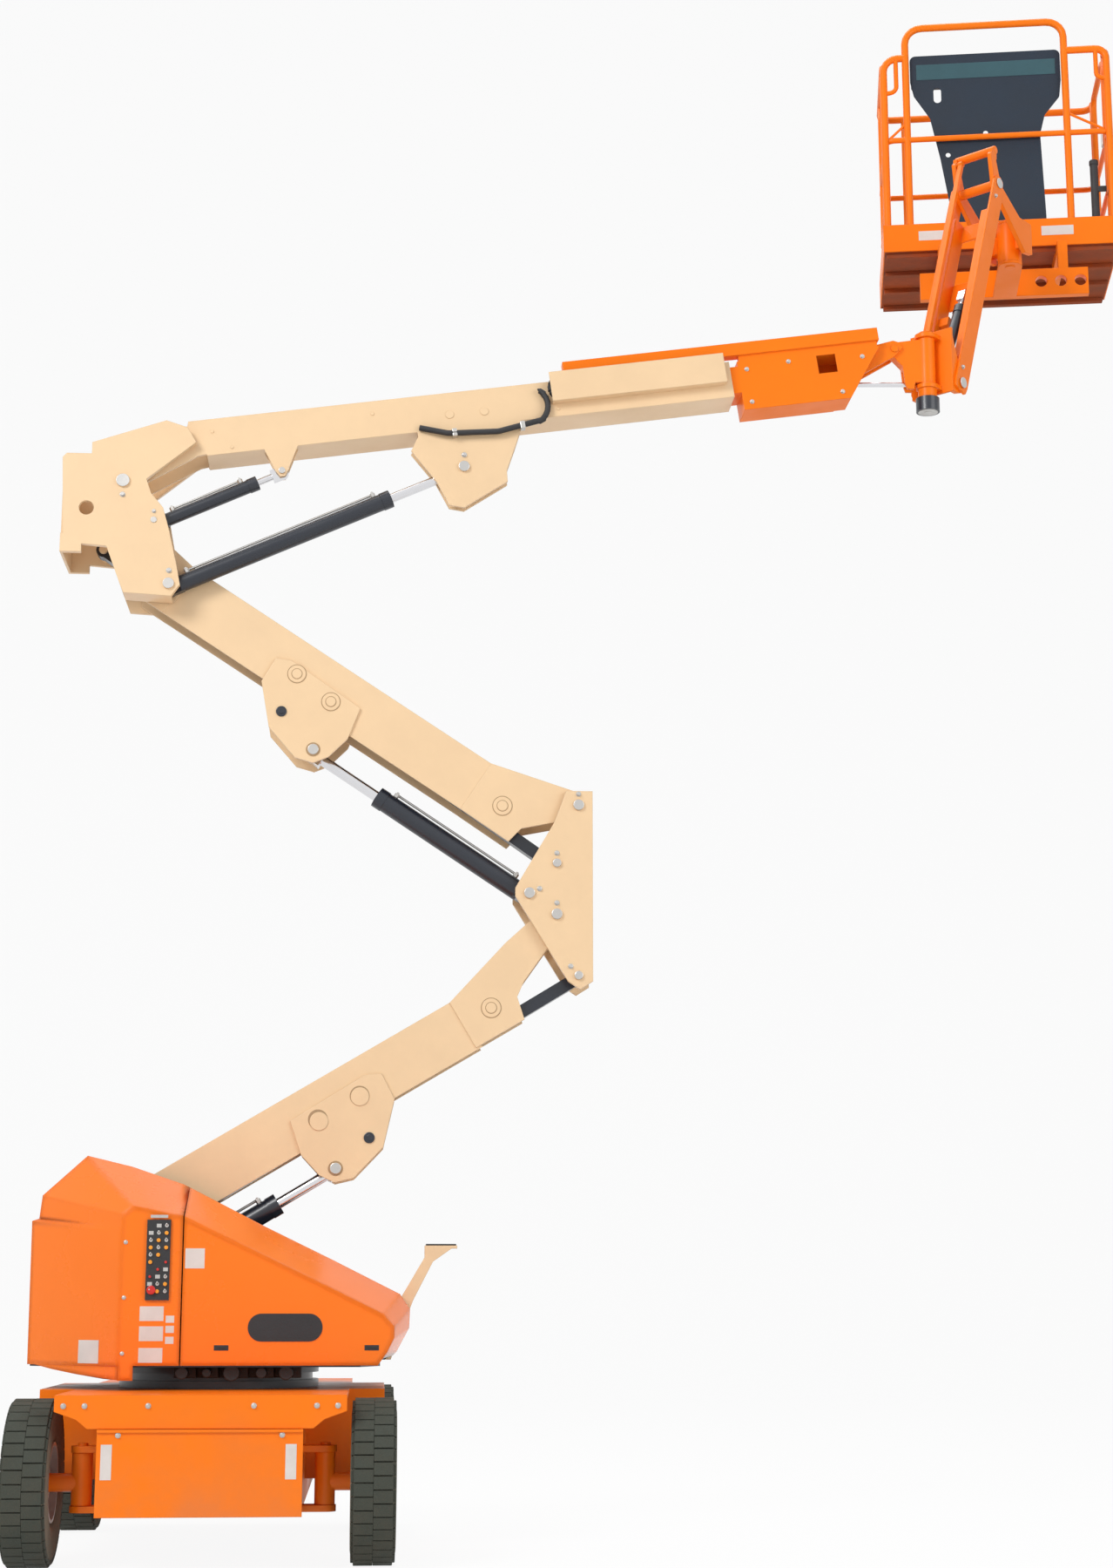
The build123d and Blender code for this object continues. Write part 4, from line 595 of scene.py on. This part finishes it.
# ---- hydraulic cylinders -------------------------------------------------------
# Blue-black barrels with chromed rods: one under each tower boom, two beside the main
# boom, one in the jib. A steel pipe joins two fittings along each of the first four.
chrome = finish_of("hard_chrome", (0.72, 0.72, 0.74), 0.12, 0.01, metallic=1.0, patchiness=0.1, dust=0.0)
MAIN_LIFT_HEAD = (1.005, 4.729)
MASTER_HEAD = (0.18, 4.69)
TOWER_CENTRE, BESIDE_BOOM = 0.04, -0.112
LOWER_BARREL = 0.761
END_CLEAR = 0.07
for name in ("lower_lift", "middle_lift", "main_lift", "level_master", "jib_cylinder"):
    dress(blue_black, name + "_barrel")
    dress(chrome, name + "_rod")
dress(chrome, "level_slave_rod")
for name, base, head, y, length, radius, first in (
    ("lower_lift", (-0.42, 1.03), LOWER_LIFT_HEAD, TOWER_CENTRE, LOWER_BARREL, 0.045, 0.45 * LOWER_BARREL),
    ("middle_lift", MIDDLE_LIFT_FOOT, MIDDLE_LIFT_HEAD, TOWER_CENTRE, 0.815, 0.045, 0.1),
    ("main_lift", MAIN_LIFT_FOOT, MAIN_LIFT_HEAD, BESIDE_BOOM, 1.078, 0.038, 0.1),
    ("level_master", MASTER_FOOT, MASTER_HEAD, BESIDE_BOOM, 0.5, 0.03, 0.1),
):
    run = Vector((head[0] - base[0], 0, head[1] - base[1])).normalized()
    up = Vector((-run.z, 0, run.x)) if run.x > 0 else Vector((run.z, 0, -run.x))
    start = Vector((base[0], y, base[1]))
    last = length - END_CLEAR
    fittings = bmesh.new()
    for s in (first, last):
        elbow = start + run * s + up * (radius + 0.018) + Vector((0, 0.01, 0))
        add_round(fittings, start + run * s + up * (radius + 0.008), up, 0.012, 0.02, 0.002, 6)
        add_round(fittings, elbow, (0, 1, 0), 0.008, 0.03, 0.001, 12)
    pipe = start + run * ((first + last) / 2) + up * (radius + 0.016) + Vector((0, 0.022, 0))
    add_round(fittings, pipe, run, 0.006, last - first, 0.001, 10)
    place(fittings, name + "_fittings", steel, name + "_barrel")

# ---- main boom -----------------------------------------------------------------
# The cream telescope base. Bosses and small plugs are welded to its side, and a black
# hose in two steel clips runs along it towards the hose carrier.
BOOM_CENTRE, BOOM_PITCH = -0.045, radians(-8.2)
boom_turn = Matrix.Rotation(BOOM_PITCH, 4, "Y")
boom_place = Matrix.Translation((BOOM_PIVOT[0], BOOM_CENTRE, BOOM_PIVOT[1])) @ boom_turn
dress(cream, "main_boom_base", "power_track")
plugs = bmesh.new()
for along, up, radius in ((1.50, 0.155, 0.02), (1.66, 0.152, 0.02), (0.42, 0.20, 0.008),
                          (0.5, 0.115, 0.008), (1.15, 0.20, 0.009), (2.0, 0.125, 0.009)):
    for out in (-1, 1):
        add_round(plugs, boom_place @ Vector((along, out * 0.1015, up)), (0, out, 0), radius, 0.003, 0.001)
place(plugs, "main_boom_plugs", cream, "main_boom")


def rounded_spline(curve, points, bend, radius=1.0, closed=False):
    """Straight runs with rounded corners, as one Bezier spline of a curve."""
    points = [Vector(p) for p in points]
    stub = 0.0005
    knots = [] if closed else [(points[0], points[0], points[0])]
    befores, corners, afters = points[-1:] + points[:-1], points, points[1:] + points[:1]
    if not closed:
        befores, corners, afters = points[:-2], points[1:-1], points[2:]
    for before, corner, after in zip(befores, corners, afters):
        back, on = (before - corner).normalized(), (after - corner).normalized()
        turn = pi - back.angle(on)
        cut, pull = bend * tan(turn / 2), bend * 4 / 3 * tan(turn / 4)
        start, end = corner + back * cut, corner + on * cut
        knots.append((start, start + back * stub, start - back * pull))
        knots.append((end, end - on * pull, end + on * stub))
    if not closed:
        knots.append((points[-1], points[-1], points[-1]))
    spline = curve.splines.new("BEZIER")
    spline.bezier_points.add(len(knots) - 1)
    spline.use_cyclic_u = closed
    for knot, (at, left, right) in zip(spline.bezier_points, knots):
        knot.handle_left_type = knot.handle_right_type = "FREE"
        knot.co, knot.handle_left, knot.handle_right, knot.radius = at, left, right, radius


def tube_curve(name, smoothness):
    """An empty curve for round tubes, each as thick as its spline's radius."""
    curve = bpy.data.curves.new(name, "CURVE")
    curve.dimensions = "3D"
    curve.bevel_depth = 1.0
    curve.bevel_resolution = 4
    curve.resolution_u = smoothness
    curve.use_fill_caps = True
    return curve


def meshed(curve, where):
    """The curve's own surface as a bmesh, put in place."""
    line = bpy.data.objects.new(curve.name + "_line", curve)
    surface = bpy.data.meshes.new_from_object(line)
    made = bmesh.new()
    made.from_mesh(surface)
    bpy.data.objects.remove(line)
    bpy.data.curves.remove(curve)
    bpy.data.meshes.remove(surface)
    bmesh.ops.remove_doubles(made, verts=made.verts, dist=0.00005)
    bmesh.ops.transform(made, matrix=where, verts=made.verts)
    return made


hose = tube_curve("boom_hose", 8)
rounded_spline(hose, [(0.80, -0.158, 4.905), (0.93, -0.171, 4.878), (1.16, -0.171, 4.893),
                      (1.36, -0.168, 4.955), (1.46, -0.166, 5.02), (1.37, -0.166, 5.08)], 0.09, 0.0135)
place(meshed(hose, Matrix()), "boom_hose", black_plastic, "main_boom", smooth=True)
clips = bmesh.new()
for x, z in ((0.96, 4.881), (1.27, 4.925)):
    add_bar(clips, (x, -0.165, z), (0.022, 0.038, 0.036), 0.003, boom_turn)
place(clips, "boom_hose_clips", steel, "main_boom")
lugs = bmesh.new()
add_round(lugs, (MAIN_LIFT_HEAD[0], -0.154, MAIN_LIFT_HEAD[1]), (0, 1, 0), 0.025, 0.008, 0.002)
add_bolt(lugs, (1.005, -0.145, 4.785), (0, -1, 0), 0.016, 0.008)
add_round(lugs, (MASTER_HEAD[0], -0.151, MASTER_HEAD[1]), (0, 1, 0), 0.015, 0.006, 0.0015)
place(lugs, "main_boom_pin_heads", steel, "main_boom")

# ---- hose carrier --------------------------------------------------------------
# A chain of black plastic links folded beside the boom. It feeds hoses to the fly and
# lies in a cream tray.
CARRIER_SIDE, CARRIER_BEND, CARRIER_UP = -0.123, 0.043, 0.219
STRAIGHT_LINKS, BENT_LINKS = 19, 5
links = bmesh.new()
for k in range(STRAIGHT_LINKS):
    for up in (0.176, 0.262):
        centre = boom_place @ Vector((2.035 + 0.040 * k, CARRIER_SIDE, up))
        add_bar(links, centre, (0.036, 0.032, 0.03), 0.004, boom_turn)
for k in range(BENT_LINKS):
    turn = pi / 2 + pi * (k + 0.5) / BENT_LINKS
    centre = boom_place @ Vector((2.02 + CARRIER_BEND * cos(turn), CARRIER_SIDE,
                                  CARRIER_UP + CARRIER_BEND * sin(turn)))
    link_turn = Matrix.Rotation(BOOM_PITCH - turn - pi / 2, 4, "Y")
    add_bar(links, centre, (0.03, 0.032, 0.028), 0.004, link_turn)
place(links, "hose_carrier_links", black_plastic, "main_boom")

# ---- fly boom, level bracket and swing actuator --------------------------------
# The orange telescoping section with its blunt nose, and in it the bracket that keeps
# the jib's post upright. The blue-black actuator has a plated cap.
SWING_AXIS = (3.18, BOOM_CENTRE)
dress(orange, "fly_boom", "level_bracket")
dress(blue_black, "swing_actuator")
fly_bolts = bmesh.new()
for along, up in ((2.9, 0.06), (2.9, 0.22), (3.33, 0.06), (3.45, 0.22), (3.1, 0.235)):
    for out in (-1, 1):
        if out < 0 or along < 3.3:
            add_bolt(fly_bolts, boom_place @ Vector((along, out * 0.084, up)), (0, out, 0), **SMALL_BOLT)
place(fly_bolts, "fly_bolts", steel, "fly_boom")
actuator = bmesh.new()
add_round(actuator, (*SWING_AXIS, 5.0842), (0, 0, 1), 0.046, 0.0024, 0.0006, 32)
add_round(actuator, (*SWING_AXIS, 5.0828), (0, 0, 1), 0.018, 0.0024, 0.0006, 24)
place(actuator, "swing_actuator_cap", steel, "jib_head")

# ---- jib -----------------------------------------------------------------------
# Two orange box tubes under side plates, with a levelling link and a cylinder in the
# open slot between them. Plated pins with keeper bolts join them to head and tip.
JIB_ANGLE = radians(69.9)
JIB_LENGTH = 1.24
SIDE_PLATES = 0.118
dress(orange, "jib_swing_head", "jib_end", "jib_timing_link")
head_place = Matrix.Translation((*SWING_AXIS, 0)) @ Matrix.Rotation(radians(46), 4, "Z")
head_turn = head_place.to_3x3().to_4x4()
side_way = head_place.to_3x3() @ Vector((0, 1, 0))
jib_run = Vector((cos(JIB_ANGLE), 0, sin(JIB_ANGLE)))
jib_up = Vector((-jib_run.z, 0, jib_run.x))
foot = Vector((0.11, 0, 5.232))
tip = foot + jib_run * JIB_LENGTH
jib_place = head_place @ Matrix.Translation(foot) @ Matrix.Rotation(-JIB_ANGLE, 4, "Y")
jib_turn = jib_place.to_3x3().to_4x4()


def cut_plate(name, outline, holes, bend, thickness, rounding, where):
    """A flat plate cut to an outline with round holes; it lies in its own x and y."""
    curve = bpy.data.curves.new(name, "CURVE")
    curve.dimensions = "2D"
    curve.fill_mode = "BOTH"
    curve.resolution_u = 6
    curve.extrude = thickness / 2 - rounding
    curve.bevel_depth = rounding
    curve.bevel_resolution = 1
    rounded_spline(curve, [(x, y, 0) for x, y in outline], bend, closed=True)
    for x, y, across, up in holes:
        square = [(x + a * across, y + b * up, 0) for a, b in ((-1, -1), (1, -1), (1, 1), (-1, 1))]
        rounded_spline(curve, square, min(across, up) * 0.98, closed=True)
    return meshed(curve, where)


def in_jib_side(sideways):
    """Stands a plate up along the jib, at a distance from its middle."""
    return jib_place @ Matrix(((1, 0, 0, 0), (0, 0, -1, sideways), (0, 1, 0, 0), (0, 0, 0, 1)))


def add_copy(target, source):
    """Adds one bmesh to another."""
    spare = bpy.data.meshes.new("spare")
    source.to_mesh(spare)
    source.free()
    target.from_mesh(spare)
    bpy.data.meshes.remove(spare)


arm = bmesh.new()
side_outline = [(-0.040, -0.042), (-0.040, 0.042), (0, 0.050), (JIB_LENGTH, 0.042), (1.274, 0.024),
                (1.280, 0), (1.270, -0.030), (1.180, -0.050), (0, -0.050)]
pin_holes = [(0, 0, 0.0205, 0.0205), (JIB_LENGTH, 0, 0.0205, 0.0205)]
for sideways in (-SIDE_PLATES, SIDE_PLATES):
    add_copy(arm, cut_plate("jib_side", side_outline, pin_holes, 0.012, 0.012, 0.001, in_jib_side(sideways)))
for centre, size in (
    ((0.59, -0.094, -0.003), (0.92, 0.036, 0.088)), ((0.59, 0.087, -0.003), (0.92, 0.050, 0.088)),
    ((0.22, 0.034, -0.044), (0.06, 0.056, 0.012)), ((0.405, 0.036, -0.009), (0.05, 0.052, 0.058)),
    ((0.60, -0.086, -0.044), (0.16, 0.052, 0.012)), ((0.60, 0.021, -0.044), (0.16, 0.082, 0.012)),
    ((1.00, 0.0, -0.036), (0.10, 0.15, 0.012)),
):
    add_bar(arm, jib_place @ Vector(centre), size, 0.003, jib_turn)
lug_outline = [(0.52, -0.040), (0.542, 0.018), (0.578, 0.018), (0.60, -0.040)]
for sideways, boss in ((-0.065, -0.072), (-0.015, -0.008)):
    add_copy(arm, cut_plate("rod_lug", lug_outline, [], 0.008, 0.010, 0.001, in_jib_side(sideways)))
    add_round(arm, jib_place @ Vector((0.56, boss, 0)), side_way, 0.012, 0.004, 0.001)
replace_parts(place(arm, "jib_box_tubes", orange, "jib_arm"), "jib_arm")
tube_end = bmesh.new()
add_round(tube_end, head_place @ (tip + Vector((0.002, 0, 0.185))), side_way, 0.021, 0.222, 0.004, 28)
for out in (-1, 1):
    lug = head_place @ (tip + Vector((-0.012, out * 0.101, 0.160)))
    add_bar(tube_end, lug, (0.045, 0.0205, 0.05), 0.003, head_turn)
place(tube_end, "jib_tip_cross_tube", orange, "jib_end")
for name, body, at, reach in (("foot", "jib_head", foot, 0.1318), ("tip", "jib_end", tip, 0.1278)):
    caps = bmesh.new()
    for out in (-1, 1):
        add_round(caps, head_place @ (at + Vector((0, out * reach, 0))), side_way, 0.026, 0.006, 0.002)
    place(caps, "jib_pins_" + name, steel, body)
dots = bmesh.new()
for out in (-1, 1):
    for along, up in ((0.08, 0.02), (1.15, 0.012)):
        at = foot + jib_run * along + jib_up * up + Vector((0, out * (SIDE_PLATES + 0.006), 0))
        add_bolt(dots, head_place @ at, side_way * out, **SMALL_BOLT)
place(dots, "jib_bolts", steel, "jib_arm")

# ---- platform ------------------------------------------------------------------
# A welded tube cage on a toe-boarded floor, in orange enamel. Its hoop stands on the
# toe board around the console, and drop tubes hook into the near corners.
NEAR, FAR, LEFT, RIGHT = 0.456, 1.164, 0.584, -0.584
HOOP_LEFT, HOOP_RIGHT, HOOP_TOP = 0.467, -0.367, 7.67
GATE_NEAR, GATE_FAR = 0.54, 1.09
TOP_RAIL, MID_RAIL, LOW_RAIL, FOOT_OF_POSTS = 7.501, 7.03, 6.72, 6.402
FRAME_TUBE, RAIL_TUBE, POST_TUBE, DROP_TUBE, BRACE_ROD = 0.019, 0.015, 0.017, 0.012, 0.007
dress(orange, "platform_support", "platform_floor", "platform_gate")
deck_turn = Matrix.Rotation(radians(80), 4, "Z")
deck_place = Matrix.Translation((3.76083, 0.556467, 0)) @ deck_turn


def on_deck(x, y, z):
    """A point given in the platform's own directions: x away from the jib, z from the ground."""
    return deck_place @ Vector((x, y, z))


rails = tube_curve("guard_rails", 5)
for radius, bend, run in (
    (FRAME_TUBE, 0.09, [(NEAR, HOOP_LEFT, FOOT_OF_POSTS), (NEAR, HOOP_LEFT, HOOP_TOP),
                        (NEAR, HOOP_RIGHT, HOOP_TOP), (NEAR, HOOP_RIGHT, FOOT_OF_POSTS)]),
    (FRAME_TUBE, 0.075, [(NEAR, HOOP_LEFT, TOP_RAIL), (NEAR, LEFT, TOP_RAIL), (NEAR, LEFT, FOOT_OF_POSTS)]),
    (FRAME_TUBE, 0.055, [(NEAR, HOOP_RIGHT, TOP_RAIL), (NEAR, RIGHT, TOP_RAIL), (NEAR, RIGHT, FOOT_OF_POSTS)]),
    (FRAME_TUBE, 0.06, [(NEAR, LEFT, 7.40), (NEAR + 0.09, LEFT, TOP_RAIL), (FAR, LEFT, TOP_RAIL),
                        (FAR, RIGHT, TOP_RAIL), (GATE_FAR, RIGHT, TOP_RAIL)]),
    (FRAME_TUBE, 0.03, [(NEAR, RIGHT, 7.45), (NEAR + 0.04, RIGHT, TOP_RAIL), (GATE_NEAR, RIGHT, TOP_RAIL)]),
    (RAIL_TUBE, 0.05, [(GATE_NEAR, RIGHT, MID_RAIL), (NEAR, RIGHT, MID_RAIL), (NEAR, LEFT, MID_RAIL),
                       (FAR, LEFT, MID_RAIL), (FAR, RIGHT, MID_RAIL), (GATE_FAR, RIGHT, MID_RAIL)]),
    (RAIL_TUBE, 0.05, [(NEAR, LEFT, LOW_RAIL), (FAR, LEFT, LOW_RAIL), (FAR, RIGHT, LOW_RAIL),
                       (GATE_FAR, RIGHT, LOW_RAIL)]),
    (RAIL_TUBE, 0.01, [(NEAR, RIGHT, LOW_RAIL), (GATE_NEAR, RIGHT, LOW_RAIL)]),
    *((POST_TUBE, 0.01, [(x, y, FOOT_OF_POSTS), (x, y, TOP_RAIL)]) for x, y in (
        (FAR, 0.45), (FAR, -0.45), (0.99, LEFT), (0.63, LEFT), (GATE_NEAR, RIGHT), (GATE_FAR, RIGHT))),
    (DROP_TUBE, 0.035, [(NEAR, 0.518, 7.495), (NEAR, 0.518, 7.31), (NEAR, 0.578, 7.30)]),
    (DROP_TUBE, 0.03, [(NEAR, -0.53, 7.495), (NEAR, -0.53, 7.34), (NEAR, -0.578, 7.33)]),
    (BRACE_ROD, 0.01, [(NEAR, 0.56, 7.04), (NEAR, 0.475, 7.12)]),
    (BRACE_ROD, 0.01, [(NEAR, -0.375, 7.14), (NEAR, -0.56, 7.04)]),
):
    rounded_spline(rails, run, bend, radius)
owner = place(meshed(rails, deck_place), "guard_rails", orange, "platform", smooth=True)
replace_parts(owner, "platform_rails")
stops = bmesh.new()
for start, end in ((1.029, GATE_FAR), (GATE_NEAR, 0.597)):
    add_bar(stops, on_deck((start + end) / 2, RIGHT, 6.7217), (end - start, 0.024, 0.012), 0.002, deck_turn)
place(stops, "gate_rests", orange, "platform")
tags = bmesh.new()
for y in (0.344, -0.29):
    add_bar(tags, on_deck(0.4294, y, 6.472), (0.001, 0.165, 0.052), 0.0004, deck_turn)
place(tags, "toe_board_labels", label_white, "platform")
TREAD_PITCH, TREAD_ROWS, TREADS_IN_ROW = 0.0485, 15, 24
treads = bmesh.new()
for k in range(TREAD_ROWS):
    for j in range(TREADS_IN_ROW):
        turn = deck_turn @ Matrix.Rotation(radians(45 if (j + k) % 2 else -45), 4, "Z")
        centre = on_deck(0.47 + TREAD_PITCH * k, -0.56 + TREAD_PITCH * j, 6.4010)
        add_bar(treads, centre, (0.03, 0.006, 0.002), 0.0009, turn)
place(treads, "floor_tread_bars", orange, "platform")
# A thin sheet and four ribs under the floor in a dark brown orange: painted shade for the shadowed underside.
shaded_underside_orange = finish_of("underside_painted_shade_orange", (0.34, 0.06, 0.01), 0.55, 0.3, patchiness=0.9,
                         dust=0.5, patch_size=5, dust_height=9.0, gloss=0.2)
below = bmesh.new()
add_bar(below, on_deck(0.81, 0, 6.3885), (0.748, 1.208, 0.002), 0.0006, deck_turn)
for x in (0.47, 0.70, 0.93, 1.16):
    add_bar(below, on_deck(x, 0, 6.376), (0.035, 1.19, 0.024), 0.003, deck_turn)
place(below, "floor_underside_ribs", shaded_underside_orange, "platform")
latch = bmesh.new()
add_bar(latch, on_deck(0.60, RIGHT, 7.05), (0.03, 0.05, 0.08), 0.004, deck_turn)
place(latch, "gate_stop", steel, "platform")
papers = bmesh.new()
add_round(papers, on_deck(0.50, -0.50, 6.71), (0, 0, 1), 0.021, 0.30, 0.004, 28)
add_round(papers, on_deck(0.50, -0.50, 6.87), (0, 0, 1), 0.024, 0.03, 0.006, 28)
add_bar(papers, on_deck(0.49, -0.53, 6.72), (0.012, 0.06, 0.03), 0.002, deck_turn)
place(papers, "document_tube", black_plastic, "platform")

# ---- platform console ----------------------------------------------------------
# A charcoal moulded console: a cut shield with a hand hole hangs from a control box
# behind the hoop. Joysticks, toggles and a red stop button stand on the box.
charcoal = finish_of("charcoal_moulding", (0.016, 0.027, 0.045), 0.5, 0.3, patchiness=0.35, dust=0.12,
                     grain_size=200, dust_height=9.0, gloss=0.3)
teal = finish_of("teal_band_paint", (0.04, 0.10, 0.12), 0.4, 0.05, patchiness=0.35, dust=0.1, gloss=0.3)
BOX_UP = 7.43
shield = [(0.442, 7.52), (0.442, 7.37), (0.425, 7.29), (0.344, 7.16), (0.296, 6.925), (0.245, 6.60),
          (0.245, 6.405), (-0.241, 6.405), (-0.241, 6.58), (-0.227, 7.04), (-0.255, 7.15),
          (-0.335, 7.25), (-0.346, 7.345), (-0.346, 7.52)]
shield_holes = [(0.302, 7.289, 0.021, 0.044), (0.056, 7.062, 0.014, 0.014), (0.024, 6.859, 0.014, 0.014),
                (0.256, 6.945, 0.014, 0.014)]
facing = deck_place @ Matrix(((0, 0, 1, 0.4805), (1, 0, 0, 0), (0, 1, 0, 0), (0, 0, 0, 1)))
front = cut_plate("console_shield", shield, shield_holes, 0.03, 0.006, 0.001, facing)
box_place = deck_place @ Matrix.Translation((0.551, 0.048, BOX_UP)) @ Matrix.Diagonal((0.134, 0.77, 0.16, 1))
console_box = bmesh.ops.create_cube(front, size=1, matrix=box_place)
for corner in console_box["verts"]:
    here = deck_place.inverted() @ corner.co
    if here.x > 0.6:
        here.z += 0.04 if here.z < BOX_UP else -0.045
        corner.co = deck_place @ here
ease(front, list({e for v in console_box["verts"] for e in v.link_edges}), 0.014, 4)
owner = place(front, "console_shield_and_box", charcoal, "platform")
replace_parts(owner, "platform_console")
band = bmesh.new()
add_bar(band, on_deck(0.4772, 0.045, 7.425), (0.003, 0.73, 0.088), 0.0012, deck_turn)
place(band, "console_band", teal, "platform")
grips = bmesh.new()
for y in (-0.16, 0.24):
    add_round(grips, on_deck(0.555, y, 7.482), (0, 0, 1), 0.034, 0.018, 0.006)
    add_round(grips, on_deck(0.555, y, 7.500), (0, 0, 1), 0.012, 0.04, 0.003)
    add_round(grips, on_deck(0.555, y, 7.530), (0, 0, 1), 0.021, 0.036, 0.010, 20, 0.018)
for y in (-0.06, -0.02, 0.02, 0.06, 0.10):
    add_round(grips, on_deck(0.545, y, 7.485), (0, 0, 1), 0.006, 0.024, 0.0015, 12)
place(grips, "console_joysticks", black_plastic, "platform")
stopper = bmesh.new()
add_round(stopper, on_deck(0.545, 0.155, 7.482), (0, 0, 1), 0.011, 0.02, 0.001)
add_round(stopper, on_deck(0.545, 0.155, 7.497), (0, 0, 1), 0.02, 0.014, 0.005)
place(stopper, "console_stop_button", red_plastic, "platform")
